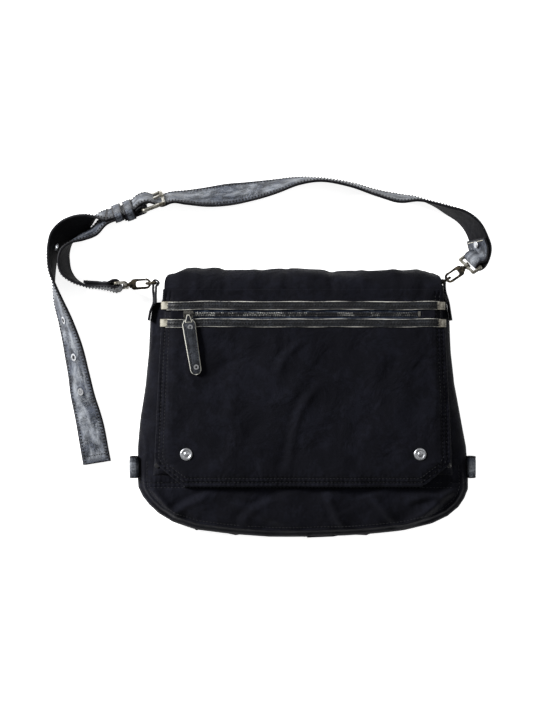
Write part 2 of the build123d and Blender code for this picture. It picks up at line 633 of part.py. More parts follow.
def strap_axes(heading, lean, outer):
    """Normal of the leather face and the direction of the strap's upper edge."""
    out = Vector(heading.Y, -heading.X, 0) * outer
    normal = out * cos(radians(lean)) + Vector(0, 0, 1) * sin(radians(lean))
    upper = out * -sin(radians(lean)) + Vector(0, 0, 1) * cos(radians(lean))
    return normal, upper


def ribbon(stations, low, high, outer, wide=STRAP_WIDE, drop_last=False):
    """A twisting strip between two depths of the strap, lofted from station to station.

    With drop_last, the last station only sets the heading of the one before it.
    """
    sections = []
    count = len(stations) - (1 if drop_last else 0)
    for spot, heading in list(zip(stations, headings(stations)))[:count]:
        normal, upper = strap_axes(heading, spot["lean"], outer)
        middle = spot["at"] + normal * (spot["shift"] + (low + high) / 2)
        face = Plane(origin=middle, x_dir=upper, z_dir=heading) * Rectangle(wide, high - low)
        sections.append(face)
    return loft(sections, ruled=True)


def plies(name, stations, outer, cuts=()):
    """Leather and backing of one length of strap, each a node, with holes cut through."""
    low = -STRAP_THICK / 2
    seam = low + STRAP_BACKING
    leather = ribbon(stations, seam, STRAP_THICK / 2, outer)
    backing = ribbon(stations, low, seam, outer)
    for cut in cuts:
        leather -= cut
        backing -= cut
    save(f"{name}_leather", leather)
    save(f"{name}_backing", backing)


def buckle_plane():
    """Plane of the buckle: +x from heel bar to far bar, +z out of the strap's leather."""
    aim = radians(BUCKLE_AIM)
    heading = Vector(-cos(aim), -sin(aim), 0)
    normal, _ = strap_axes(heading, BUCKLE_LEAN, 1)
    return Plane(origin=(BUCKLE_X, BUCKLE_Y, buckle_level()), x_dir=-heading, z_dir=normal)


def buckle_level():
    lean = radians(BUCKLE_LEAN)
    return BUCKLE_WIDE / 2 * cos(lean) + BUCKLE_THICK / 2 * sin(lean) + 0.4


def by_buckle(back, shift, aim):
    """A strap station at a distance along the buckle's own axis and a shift out of it."""
    along = Vector(cos(radians(BUCKLE_AIM)), sin(radians(BUCKLE_AIM)), 0)
    at = Vector(BUCKLE_X, BUCKLE_Y, buckle_level()) + along * back
    return station(at.X, at.Y, BUCKLE_LEAN, at.Z, shift, aim)


def from_eye(side, aim, distance, lean, shift):
    """A strap station at a distance beyond an eye's outer bar."""
    bar = RING_DEEP + EYE_FRONT + EYE_WIRE / 2 + EYE_DEEP
    place = Vector(cos(radians(aim)), sin(radians(aim)), 0) * (bar + distance)
    return station(ring_x(side) + place.X, RING_Y + place.Y, lean, RING_Z, shift, aim)


def eye_stations(side, aim, lean, open_shift, step):
    """One ply's stations from the middle of an eye's bar to where the two plies close up."""
    return [from_eye(side, aim, 0, lean, open_shift), from_eye(side, aim, 3, lean, open_shift),
            from_eye(side, aim, 9, lean, step)]


def fold(radius):
    """Half turn of both plies round a bar, along the strap's width, opening towards +x."""
    ring = Circle(radius + STRAP_THICK) - Circle(radius)
    ring -= Pos(2 * radius + STRAP_THICK, 0) * Rectangle(4 * radius + 2 * STRAP_THICK, 99)
    side = Plane(origin=(0, -STRAP_WIDE / 2, 0), x_dir=(1, 0, 0), z_dir=(0, 1, 0))
    return extrude(side * ring, STRAP_WIDE)


def eye_fold(side, aim, lean, radius):
    """The strap's turn round an eye's outer bar."""
    bar = RING_DEEP + EYE_FRONT + EYE_WIRE / 2 + EYE_DEEP
    return hardware_frame(side, aim) * Pos(bar, 0, 0) * Rot(90 - lean, 0, 0) * fold(radius)


def make_long_strap():
    """Billet strap from the right eye, through the buckle, to the keepers."""
    radius = EYE_WIRE / 2 + 0.9
    open_shift = radius + STRAP_THICK / 2
    step = PLY_STEP / 2
    start = eye_stations(1, RIGHT_AIM, RIGHT_LEAN, open_shift, step)
    route = [station(*spot) for spot in LONG_ROUTE]
    route[0]["shift"] = step
    back_aim = BUCKLE_AIM + 180
    heel = BUCKLE_BAR_R + 0.3
    over = heel + STRAP_THICK * 1.5 + PLY_GAP
    under = -(BUCKLE_BAR_R + 0.4 + STRAP_THICK / 2)
    end = by_buckle(-KEEPER_EXIT, PLY_STEP + 1.2, 180)
    buckle = [by_buckle(BUCKLE_LONG + 8, under, back_aim), by_buckle(BUCKLE_LONG - 3.5, under, back_aim),
              by_buckle(7, over, back_aim), by_buckle(-2, over, back_aim),
              by_buckle(-11.3, PLY_STEP, back_aim), by_buckle(-KEEPER_EXIT + 5, PLY_STEP, back_aim),
              end]
    middle = (PRONG_SLOT[0] + PRONG_SLOT[1]) / 2
    long = PRONG_SLOT[1] - PRONG_SLOT[0]
    slot = buckle_plane() * Pos(middle, 0, 0) * Box(long, PRONG_WIDE + 1.2, 30)
    plies("long_strap", start + route + buckle, 1, [slot])
    back = eye_stations(1, RIGHT_AIM, RIGHT_LEAN, -open_shift, -step)
    ends = [station(*spot) for spot in LONG_ROUTE[:3]]
    ends[0]["shift"] = -step
    ends[1]["shift"] = -PLY_STEP
    inner = ribbon(back + ends, -STRAP_THICK / 2, STRAP_THICK / 2, 1, drop_last=True)
    save("long_strap_end", eye_fold(1, RIGHT_AIM, RIGHT_LEAN, radius) + inner)
    return end



def make_short_strap():
    """Strap from the left eye round to the buckle's heel bar, with its end folded back."""
    radius = EYE_WIRE / 2 + 0.9
    open_shift = radius + STRAP_THICK / 2
    lean = -LEFT_LEAN
    step = PLY_STEP / 2
    start = eye_stations(-1, LEFT_AIM, lean, open_shift, step)
    heel = BUCKLE_BAR_R + 0.3 + STRAP_THICK / 2
    end = [by_buckle(-KEEPER_EXIT - 1, 0, BUCKLE_AIM), by_buckle(-12, 0, BUCKLE_AIM),
           by_buckle(-3, heel, BUCKLE_AIM), by_buckle(0, heel, BUCKLE_AIM)]
    route = [station(*spot) for spot in SHORT_ROUTE]
    gap = Box(2 * heel + 5, PRONG_WIDE + 1.0, 6 * STRAP_THICK)
    slot = buckle_plane() * gap
    plies("short_strap", start + route + end, -1, [slot])
    turn = buckle_plane() * Rot(0, 0, 180) * fold(BUCKLE_BAR_R + 0.3)
    back = [by_buckle(0, -heel, BUCKLE_AIM), by_buckle(-3, -heel, BUCKLE_AIM),
            by_buckle(-FOLD_BACK_LONG, -PLY_STEP, BUCKLE_AIM)]
    fold_back = ribbon(back, -STRAP_THICK / 2, STRAP_THICK / 2, -1)
    save("short_strap_buckle_end", turn + fold_back - slot)
    back = eye_stations(-1, LEFT_AIM, lean, -open_shift, -step)
    ends = [station(*spot) for spot in SHORT_ROUTE[:3]]
    ends[0]["shift"] = -PLY_STEP
    ends[1]["shift"] = -PLY_STEP
    inner = ribbon(back + ends, -STRAP_THICK / 2, STRAP_THICK / 2, -1, drop_last=True)
    save("short_strap_eye_end", eye_fold(-1, LEFT_AIM, LEFT_LEAN, radius) + inner)


def make_tail(root):
    """Free end of the billet beyond the keepers, with its eyelets."""
    first = dict(root)
    first["at"] = root["at"] + Vector(-TAIL_GAP, 0, 0)
    stations = [first] + [station(*spot) for spot in TAIL_ROUTE]
    cuts = []
    eyelets = []
    for index in TAIL_HOLES:
        spot = stations[index]
        heading = headings(stations)[index]
        normal, upper = strap_axes(heading, spot["lean"], 1)
        place = Plane(origin=spot["at"], x_dir=upper, z_dir=normal)
        cuts.append(place * Cylinder(TAIL_HOLE_R + 0.8, 6 * STRAP_THICK))
        ring = Cylinder(TAIL_HOLE_R + 0.8, STRAP_THICK + 1.8)
        for side in (-1, 1):
            ring += Pos(0, 0, side * (STRAP_THICK / 2 + 0.75)) * Cylinder(EYELET_RING_R, 0.5)
        eyelets.append(place * (ring - Cylinder(TAIL_HOLE_R, 6 * STRAP_THICK)))
    plies("strap_tail", stations, 1, cuts)
    save("tail_eyelets", Compound(children=eyelets))


def make_buckle():
    """Frame with heel bar and far bar, the prong on the heel bar, and two keepers."""
    plane = buckle_plane()
    half = BUCKLE_WIDE / 2
    rail = BUCKLE_SIDE
    long = BUCKLE_LONG + 2 * BUCKLE_BAR_R
    face = Pos(BUCKLE_LONG / 2, 0) * Rectangle(long, BUCKLE_WIDE)
    face = fillet(face.vertices(), rail * 0.8)
    room = Pos(BUCKLE_LONG / 2, 0) * Rectangle(BUCKLE_LONG - 2 * BUCKLE_BAR_R, BUCKLE_WIDE - 2 * rail)
    heel_cut = Pos(-BUCKLE_BAR_R, 0) * Rectangle(4 * BUCKLE_BAR_R, BUCKLE_WIDE - 2 * rail)
    frame = slab(face - room - heel_cut, -BUCKLE_THICK / 2, BUCKLE_THICK / 2)
    edges = frame.edges().group_by(Axis.Z)
    frame = chamfer(edges[-1] + edges[0], 0.6)
    bar = Rot(90, 0, 0) * Cylinder(BUCKLE_BAR_R, BUCKLE_WIDE - rail)
    save("buckle_frame", plane * (frame + bar))
    reach = BUCKLE_LONG + BUCKLE_BAR_R + 1
    rest = BUCKLE_THICK / 2 + 0.1
    rise = PRONG_THICK / 2 + rest
    shape = outline([(0, -PRONG_THICK / 2), (BUCKLE_LONG - 4, rise - PRONG_THICK / 2 - 0.4),
                     (BUCKLE_LONG - 2.4, rest), (reach, rest), (reach, rest + PRONG_THICK * 0.7),
                     (BUCKLE_LONG - 4, rise + PRONG_THICK / 2), (0, PRONG_THICK / 2 + 1)])
    eye = Circle(BUCKLE_BAR_R + 1.5)
    side = Plane(origin=(0, PRONG_WIDE / 2, 0), x_dir=(1, 0, 0), z_dir=(0, -1, 0))
    prong = extrude(side * (shape + eye - Circle(BUCKLE_BAR_R + PRONG_CLEAR / 4)), PRONG_WIDE)
    save("buckle_prong", plane * prong)
    clear = KEEPER_CLEAR + STRAP_THICK / 2
    top = PLY_STEP + clear
    for name, back, low in (("fixed", FIXED_KEEPER_BACK, -PLY_STEP - clear),
                            ("loose", LOOSE_KEEPER_BACK, -clear)):
        wide = STRAP_WIDE + 2 * KEEPER_CLEAR
        inner = Box(2 * KEEPER_LONG, wide, top - low)
        outer = Box(KEEPER_LONG, wide + 2 * KEEPER_THICK, top - low + 2 * KEEPER_THICK)
        loop = fillet(outer.edges().filter_by(Axis.X), KEEPER_THICK) - inner
        save(f"keeper_{name}", plane * Pos(-back, 0, (top + low) / 2) * loop)


def rivet_between(first, second, outer):
    """A rivet head standing on the inner ply halfway between two stations."""
    run = second["at"] - first["at"]
    heading = Vector(run.X, run.Y, 0).normalized()
    normal, upper = strap_axes(heading, (first["lean"] + second["lean"]) / 2, outer)
    shift = (first["shift"] + second["shift"]) / 2
    at = (first["at"] + second["at"]) * 0.5 + normal * (shift - STRAP_THICK / 2 - CHAPE_RIVET_LIFT)
    head = Pos(0, 0, -CHAPE_RIVET_HIGH / 2) * Cylinder(CHAPE_RIVET_R, CHAPE_RIVET_HIGH)
    head = fillet(head.edges().group_by(Axis.Z)[0], CHAPE_RIVET_HIGH * 0.6)
    return Plane(origin=at, x_dir=upper, z_dir=normal) * head


def make_chape_rivets():
    """One rivet through each folded end by its eye."""
    right = [station(*spot) for spot in LONG_ROUTE[:2]]
    right[0]["shift"] = -PLY_STEP / 2
    right[1]["shift"] = -PLY_STEP
    left = [from_eye(-1, LEFT_AIM, 9, -LEFT_LEAN, -PLY_STEP / 2), station(*SHORT_ROUTE[0])]
    left[1]["shift"] = -PLY_STEP
    save("chape_rivets", Compound(children=[rivet_between(*right, 1), rivet_between(*left, -1)]))


make_shell()
make_lining()
make_pocket()
make_flap_cloth()
make_roll()
make_zip()
make_trim_tabs()
make_puller(make_slider())
make_snaps()
make_side_loops()
make_strap_tabs()
make_hardware()
make_short_strap()
make_tail(make_long_strap())
make_buckle()
make_chape_rivets()
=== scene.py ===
"""Looks of a canvas messenger bag with a leather shoulder strap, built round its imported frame.

Sizes in the classes are millimetres in the frame's own axes: +Z up from the surface that the bag
lies on, +Y towards its mouth. Meshes are written in metres.
"""

import logging
from dataclasses import dataclass, field
from enum import Enum

import bmesh
import bpy
import numpy as np
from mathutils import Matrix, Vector


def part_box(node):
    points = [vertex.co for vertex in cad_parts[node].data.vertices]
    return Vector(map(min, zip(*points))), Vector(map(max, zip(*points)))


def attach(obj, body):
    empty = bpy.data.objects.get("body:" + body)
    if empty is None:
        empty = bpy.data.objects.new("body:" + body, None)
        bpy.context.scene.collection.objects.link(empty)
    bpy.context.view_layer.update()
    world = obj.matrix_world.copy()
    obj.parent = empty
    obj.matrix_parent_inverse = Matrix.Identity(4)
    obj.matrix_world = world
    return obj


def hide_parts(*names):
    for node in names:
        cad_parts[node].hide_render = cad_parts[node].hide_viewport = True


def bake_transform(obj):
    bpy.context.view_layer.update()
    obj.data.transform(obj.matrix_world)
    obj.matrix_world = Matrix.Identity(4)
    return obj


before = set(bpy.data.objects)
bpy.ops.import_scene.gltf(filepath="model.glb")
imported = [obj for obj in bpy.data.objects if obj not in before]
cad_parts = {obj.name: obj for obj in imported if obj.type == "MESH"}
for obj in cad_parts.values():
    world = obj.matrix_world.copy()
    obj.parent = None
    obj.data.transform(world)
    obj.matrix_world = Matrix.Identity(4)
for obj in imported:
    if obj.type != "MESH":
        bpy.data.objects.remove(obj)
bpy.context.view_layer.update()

MM = 0.001
UP = np.array([0.0, 0.0, 1.0])
ALONG = np.array([0.0, 1.0, 0.0])
FAR_FROM_EDGE = 50.0       # rim distance of cloth that shows no edge
PUCKER_STEP = 5.6          # from one pucker of a seam to the next
Piece = bpy.types.Object
Node = bpy.types.Node
Socket = bpy.types.NodeSocket
Value = Socket | float | tuple | str
log = logging.getLogger("bag")


# ---- shapes --------------------------------------------------------------------------------
class Body(str, Enum):
    """Moving bodies that the pieces ride on."""

    BAG = "bag"
    FLAP = "flap"
    PULLER = "puller"
    STRAP = "strap"
    TAIL = "tail"
    LOOSE_KEEPER = "loose_keeper"


class Hand(Enum):
    """Side of the bag, as the sign of X."""

    LEFT = -1
    RIGHT = 1

    @property
    def word(self) -> str:
        """Lower-case name, as used in piece names."""
        return self.name.lower()


def smooth(share: np.ndarray) -> np.ndarray:
    """Soft step from 0 to 1 as the share goes from 0 to 1."""
    share = np.clip(share, 0, 1)
    return share * share * (3 - 2 * share)


def hill(distance: np.ndarray, wide: float) -> np.ndarray:
    """Bell curve, 1 at distance 0 and nearly gone at twice the width."""
    return np.exp(-((distance / wide) ** 2))


def unit(vectors: np.ndarray) -> np.ndarray:
    """The same directions at length 1."""
    return vectors / np.maximum(np.linalg.norm(vectors, axis=-1, keepdims=True), 1e-9)


def ripples(x: np.ndarray, y: np.ndarray, wave: float, seed: int, count: int = 7) -> np.ndarray:
    """Sum of plane waves in seeded directions round one wavelength, mostly within -1 and 1.

    Args:
        x: Places across.
        y: Places along.
        wave: Wavelength.
        seed: Changes the directions and phases.
        count: Number of waves.

    Returns:
        Heights, of the places' shape.
    """
    rng = np.random.default_rng(seed)
    total = np.zeros(np.broadcast(x, y).shape)
    for _ in range(count):
        turn, phase = rng.uniform(0, np.pi), rng.uniform(0, 2 * np.pi)
        number = 2 * np.pi / (wave * rng.uniform(0.7, 1.7))
        total = total + np.sin((x * np.cos(turn) + y * np.sin(turn)) * number + phase)
    return total / np.sqrt(count)


@dataclass(frozen=True)
class Crease:
    """A fold in cloth: a ridge of bell section along a line, fading out at both ends."""

    start: tuple[float, float]
    end: tuple[float, float]
    wide: float = 5.0
    high: float = 1.5

    def lift(self, x: np.ndarray, y: np.ndarray) -> np.ndarray:
        """Height that the fold adds.

        Args:
            x: Places across.
            y: Places along.

        Returns:
            Millimetres, of the places' shape.
        """
        run = np.subtract(self.end, self.start)
        long = float(np.hypot(*run))
        along = ((x - self.start[0]) * run[0] + (y - self.start[1]) * run[1]) / long
        aside = ((x - self.start[0]) * run[1] - (y - self.start[1]) * run[0]) / long
        aside = aside + 0.06 * long * np.sin(along / long * 5.0 + self.start[0])
        ends = smooth(along / (0.3 * long)) * smooth((long - along) / (0.3 * long))
        return self.high * ends * (hill(aside, self.wide) - 0.45 * hill(aside - 1.7 * self.wide, self.wide))


@dataclass
class Grid:
    """A sheet of points in rows and columns, with its flat cloth coordinates.

    Attributes:
        points: (rows, columns, 3) places.
        flat: (rows, columns, 2) places on the cloth before it was shaped.
        rim: (rows, columns) distance from the nearest cut edge.
        ring_rows: True if the last row joins the first.
        ring_columns: True if the last column joins the first.
    """

    points: np.ndarray
    flat: np.ndarray
    rim: np.ndarray
    ring_rows: bool = False
    ring_columns: bool = False

    def faces(self, first: int) -> np.ndarray:
        """Four corner numbers for each face, counting points from first.

        Args:
            first: Number of the grid's first point.

        Returns:
            (n, 4) point numbers.
        """
        rows, columns = self.points.shape[:2]
        index = np.arange(rows * columns).reshape(rows, columns) + first
        if self.ring_rows:
            index = np.concatenate([index, index[:1]])
        if self.ring_columns:
            index = np.concatenate([index, index[:, :1]], axis=1)
        corners = [index[:-1, :-1], index[:-1, 1:], index[1:, 1:], index[1:, :-1]]
        return np.stack(corners, axis=-1).reshape(-1, 4)


def sheet_grid(points: np.ndarray, flat: np.ndarray | None = None) -> Grid:
    """An open sheet, laid flat by dropping its heights unless its flat places are given."""
    flat = points[..., :2].copy() if flat is None else flat
    return Grid(points, flat, np.full(points.shape[:2], FAR_FROM_EDGE))


def ringed_grid(points: np.ndarray) -> Grid:
    """A skin whose rows are closed rings."""
    return Grid(points, points[..., :2].copy(), np.full(points.shape[:2], FAR_FROM_EDGE), ring_columns=True)


def run_lengths(points: np.ndarray) -> np.ndarray:
    """Distance run along a line of points, up to each of them."""
    steps = np.linalg.norm(np.diff(points, axis=0), axis=1)
    return np.concatenate([[0.0], np.cumsum(steps)])


def write_mesh(name: str, grids: list[Grid], material: bpy.types.Material,
               facing: np.ndarray | tuple | None = None) -> Piece:
    """One smooth object from grids.

    Args:
        name: Object name.
        grids: Its sheets or closed skins, in millimetres.
        material: Its finish.
        facing: For open sheets, the way their outer side faces; closed skins leave it out.

    Returns:
        The object, at the origin and linked to the scene.
    """
    points = np.concatenate([g.points.reshape(-1, 3) for g in grids])
    flats = np.concatenate([g.flat.reshape(-1, 2) for g in grids])
    rims = np.concatenate([g.rim.reshape(-1) for g in grids])
    faces, first = [], 0
    for grid in grids:
        quads = grid.faces(first)
        if facing is not None:
            a, b, c = (points[quads[:, k]] for k in (0, 1, 3))
            if (np.cross(b - a, c - a) @ np.asarray(facing, float)).sum() < 0:
                quads = quads[:, ::-1]
        faces.append(quads)
        first += grid.points.shape[0] * grid.points.shape[1]
    quads = np.concatenate(faces)
    mesh = bpy.data.meshes.new(name)
    mesh.vertices.add(len(points))
    mesh.vertices.foreach_set("co", (points * MM).astype(np.float32).ravel())
    mesh.loops.add(quads.size)
    mesh.loops.foreach_set("vertex_index", quads.astype(np.int32).ravel())
    mesh.polygons.add(len(quads))
    mesh.polygons.foreach_set("loop_start", np.arange(0, quads.size, 4, dtype=np.int32))
    mesh.update(calc_edges=True)
    mesh.validate()
    spread = np.column_stack([flats, np.zeros(len(flats))]).astype(np.float32)
    mesh.attributes.new("flat", "FLOAT_VECTOR", "POINT").data.foreach_set("vector", spread.ravel())
    mesh.attributes.new("rim", "FLOAT", "POINT").data.foreach_set("value", rims.astype(np.float32))
    mesh.shade_smooth()
    if facing is None:
        solid = bmesh.new()
        solid.from_mesh(mesh)
        bmesh.ops.holes_fill(solid, edges=[edge for edge in solid.edges if edge.is_boundary], sides=0)
        bmesh.ops.recalc_face_normals(solid, faces=solid.faces)
        solid.to_mesh(mesh)
        solid.free()
    mesh.materials.append(material)
    piece = bpy.data.objects.new(name, mesh)
    bpy.context.scene.collection.objects.link(piece)
    log.info("%s: %d faces", name, len(quads))
    return piece


def thicken(piece: Piece, thick: float) -> Piece:
    """Gives a sheet its thickness, inwards from its outer side.

    Args:
        piece: The piece.
        thick: Thickness.

    Returns:
        The same piece.
    """
    solid = piece.modifiers.new("thickness", "SOLIDIFY")
    solid.thickness = thick * MM
    solid.offset = -1.0
    return piece


def punch(piece: Piece, spots: list[tuple], radius: float) -> None:
    """Opens round holes through a piece, whose uneven edges lie under an eyelet's flange.

    Args:
        piece: The piece, before it rides on a body.
        spots: (middle, axis) of each hole.
        radius: Faces whose middle is nearer to the axis than this are left out.
    """
    solid = bmesh.new()
    solid.from_mesh(piece.data)
    middles = np.array([face.calc_center_median() for face in solid.faces]) / MM
    gone = np.zeros(len(middles), bool)
    for middle, axis in spots:
        away = middles - middle
        high = away @ axis
        gone |= (np.linalg.norm(away - high[:, None] * axis, axis=1) < radius) & (np.abs(high) < 5)
    faces = [face for face, out in zip(solid.faces, gone) if out]
    bmesh.ops.delete(solid, geom=faces, context="FACES")
    solid.to_mesh(piece.data)
    solid.free()


def eyelet_middles(node: str) -> list[np.ndarray]:
    """Middle of each eyelet in a CAD node, from its separate solids.

    Args:
        node: Name of the CAD node.

    Returns:
        Middles in millimetres.
    """
    solid = bmesh.new()
    solid.from_mesh(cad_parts[node].data)
    left, middles = set(solid.verts), []
    while left:
        island, edge = set(), [left.pop()]
        while edge:
            vertex = edge.pop()
            island.add(vertex)
            for other in (link.other_vert(vertex) for link in vertex.link_edges):
                if other in left:
                    left.remove(other)
                    edge.append(other)
        points = np.array([v.co for v in island]) / MM
        middles.append((points.min(axis=0) + points.max(axis=0)) / 2)
    solid.free()
    return middles


def place(piece: Piece, body: Body, slot: str, *nodes: str) -> Piece:
    """Rides a piece on its body and hides the CAD nodes that it stands for.

    Args:
        piece: The piece.
        body: Body to ride on.
        slot: Not used.
        nodes: CAD nodes that it replaces.

    Returns:
        The same piece.
    """
    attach(piece, body.value)
    if nodes:
        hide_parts(*nodes)
    return piece


def cloth(name: str, grids: list[Grid], finish: "Finish", facing: np.ndarray, thick: float,
          body: Body, slot: str, *nodes: str) -> Piece:
    """Writes an open sheet, gives it its thickness and rides it on its body."""
    sheet = write_mesh(name, grids, finish.material(), facing)
    return place(thicken(sheet, thick), body, slot, *nodes)


# ---- finishes ------------------------------------------------------------------------------
class Tree:
    """Short calls for adding and joining shader nodes in one node tree."""

    def __init__(self, tree: bpy.types.NodeTree) -> None:
        """Keeps the tree that the nodes go into."""
        self.tree = tree

    def add(self, kind: str, **settings: Value | bpy.types.NodeTree) -> Node:
        """A new node with its properties set.

        Args:
            kind: Type of the node.
            settings: Its properties.

        Returns:
            The node.
        """
        node = self.tree.nodes.new(kind)
        for name, value in settings.items():
            setattr(node, name, value)
        return node

    def feed(self, socket: Socket, value: Value) -> None:
        """Joins an output to a socket, or sets the socket to a constant.

        Args:
            socket: Socket to feed.
            value: An output or a constant.
        """
        if isinstance(value, Socket):
            self.tree.links.new(value, socket)
        else:
            socket.default_value = value

    def maths(self, operation: str, *values: Value) -> Socket:
        """Result of a math node.

        Args:
            operation: Name of the operation.
            values: Outputs or constants.

        Returns:
            The node's output.
        """
        node = self.add("ShaderNodeMath", operation=operation)
        for socket, value in zip(node.inputs, values):
            self.feed(socket, value)
        return node.outputs[0]

    def spread(self, value: Value, low: float, high: float) -> Socket:
        """Value moved to 0 at low and 1 at high, softly and clamped.

        Args:
            value: An output or a constant.
            low: Value that becomes 0.
            high: Value that becomes 1.

        Returns:
            The node's output.
        """
        node = self.add("ShaderNodeMapRange", interpolation_type="SMOOTHSTEP")
        for socket, item in zip(node.inputs, (value, low, high, 0.0, 1.0)):
            self.feed(socket, item)
        return node.outputs[0]

    def scaled(self, vector: Value, size: Value) -> Socket:
        """A vector times a number or three numbers.

        Args:
            vector: Place.
            size: Factor.

        Returns:
            The node's output.
        """
        node = self.add("ShaderNodeVectorMath", operation="MULTIPLY")
        self.feed(node.inputs[0], vector)
        self.feed(node.inputs[1], size)
        return node.outputs[0]

    def noise(self, vector: Value, scale: Value, detail: float = 3.0, rough: float = 0.55,
              bend: float = 0.0) -> Socket:
        """Value of a noise texture.

        Args:
            vector: Place.
            scale: Waves in a millimetre.
            detail: Number of finer layers.
            rough: Strength of the finer layers.
            bend: How far the pattern is bent.

        Returns:
            The texture's value.
        """
        node = self.add("ShaderNodeTexNoise")
        self.feed(node.inputs["Vector"], vector)
        names = ("Scale", "Detail", "Roughness", "Distortion")
        for name, value in zip(names, (scale, detail, rough, bend)):
            self.feed(node.inputs[name], value)
        return node.outputs[0]

    def blend(self, share: Value, first: Value, second: Value) -> Socket:
        """Colour that goes from first to second with the share.

        Args:
            share: Share of the second.
            first: Colour at 0.
            second: Colour at 1.

        Returns:
            The colour.
        """
        node = self.add("ShaderNodeMix", data_type="RGBA")
        self.feed(node.inputs[0], share)
        self.feed(node.inputs[6], first)
        self.feed(node.inputs[7], second)
        return node.outputs[2]

    def attribute(self, name: str, output: str) -> Socket:
        """A point attribute of the mesh."""
        return self.add("ShaderNodeAttribute", attribute_name=name).outputs[output]

    def use(self, group: bpy.types.NodeTree, **inputs: Value) -> Node:
        """A node group with its inputs fed.

        Args:
            group: The node group.
            inputs: What feeds each input.

        Returns:
            The group node.
        """
        node = self.add("ShaderNodeGroup", node_tree=group)
        for name, value in inputs.items():
            self.feed(node.inputs[name], value)
        return node


class EffectGroup:
    """A shader effect shared by finishes: it takes a place and sizes and gives masks or heights."""

    name = "effect"
    inputs: tuple[tuple[str, str, float], ...] = ()
    outputs: tuple[str, ...] = ("Mask",)

    def build(self) -> bpy.types.NodeTree:
        """Makes the node group once and returns it.

        Returns:
            The group.
        """
        if self.name in bpy.data.node_groups:
            return bpy.data.node_groups[self.name]
        group = bpy.data.node_groups.new(self.name, "ShaderNodeTree")
        sides = group.interface
        sides.new_socket("Place", in_out="INPUT", socket_type="NodeSocketVector")
        for name, kind, value in self.inputs:
            sides.new_socket(name, in_out="INPUT", socket_type=kind).default_value = value
        for name in self.outputs:
            sides.new_socket(name, in_out="OUTPUT", socket_type="NodeSocketFloat")
        tree = Tree(group)
        ends = tree.add("NodeGroupInput"), tree.add("NodeGroupOutput")
        self.wire(tree, *ends)
        return group

    def wire(self, tree: Tree, given: Node, made: Node) -> None:
        """Joins the group's nodes from its inputs to its outputs."""
        raise NotImplementedError


class Weave(EffectGroup):
    """Plain weave: threads go over and under each other in a checkerboard of bumps."""

    name = "weave"
    inputs = (("Pitch", "NodeSocketFloat", 0.9),)
    outputs = ("Height",)

    def wire(self, tree: Tree, given: Node, made: Node) -> None:
        """Product of two sines of the flat place, with a little unevenness in the threads."""
        parts = tree.add("ShaderNodeSeparateXYZ")
        tree.feed(parts.inputs[0], given.outputs["Place"])
        turns = tree.maths("DIVIDE", 2 * np.pi, given.outputs["Pitch"])
        one = tree.maths("SINE", tree.maths("MULTIPLY", parts.outputs[0], turns))
        two = tree.maths("SINE", tree.maths("MULTIPLY", parts.outputs[1], turns))
        bump = tree.maths("MULTIPLY_ADD", tree.maths("MULTIPLY", one, two), 0.5, 0.5)
        slub = tree.noise(tree.scaled(given.outputs["Place"], (0.08, 1.0, 1.0)), 0.8, 2.0)
        tree.feed(made.inputs["Height"], tree.maths("ADD", bump, slub))


class Mottle(EffectGroup):
    """Patches of wear: broad cloudy ones with small specks inside them."""

    name = "mottle"
    inputs = (("Size", "NodeSocketFloat", 30.0), ("Cover", "NodeSocketFloat", 0.5))
    outputs = ("Mask", "Specks")

    def wire(self, tree: Tree, given: Node, made: Node) -> None:
        """Two noises a few sizes apart, cut at the cover's level."""
        place = tree.add("ShaderNodeVectorMath", operation="DIVIDE")
        tree.feed(place.inputs[0], given.outputs["Place"])
        joined = tree.add("ShaderNodeCombineXYZ")
        for socket in joined.inputs:
            tree.feed(socket, given.outputs["Size"])
        tree.feed(place.inputs[1], joined.outputs[0])
        broad = tree.noise(place.outputs[0], 1.0, 4.0, 0.6, 0.4)
        fine = tree.noise(place.outputs[0], 5.5, 5.0, 0.7, 0.2)
        both = tree.maths("MULTIPLY_ADD", fine, 0.45, tree.maths("MULTIPLY", broad, 0.55))
        level = tree.maths("SUBTRACT", 1.0, given.outputs["Cover"])
        over = tree.maths("SUBTRACT", both, tree.maths("MULTIPLY_ADD", level, 0.35, 0.325))
        tree.feed(made.inputs["Mask"], tree.spread(over, -0.045, 0.055))
        specks = tree.noise(place.outputs[0], 16.0, 3.0, 0.7)
        tree.feed(made.inputs["Specks"], tree.spread(specks, 0.56, 0.72))


class Cracks(EffectGroup):
    """A network of fine creases, as where leather has been bent many times."""

    name = "cracks"
    inputs = (("Size", "NodeSocketFloat", 6.0),)

    def wire(self, tree: Tree, given: Node, made: Node) -> None:
        """Thin lines where a noise, drawn out across the strap, passes its middle value."""
        drawn = tree.scaled(given.outputs["Place"], (1.0, 0.16, 1.0))
        wave = tree.noise(drawn, tree.maths("DIVIDE", 1.0, given.outputs["Size"]), 3.0, 0.6, 1.2)
        away = tree.maths("ABSOLUTE", tree.maths("SUBTRACT", wave, 0.5))
        line = tree.maths("SUBTRACT", 1.0, tree.spread(away, 0.0, 0.016))
        faint = tree.spread(tree.noise(given.outputs["Place"], 0.05, 3.0), 0.44, 0.58)
        tree.feed(made.inputs["Mask"], tree.maths("MULTIPLY", line, faint))


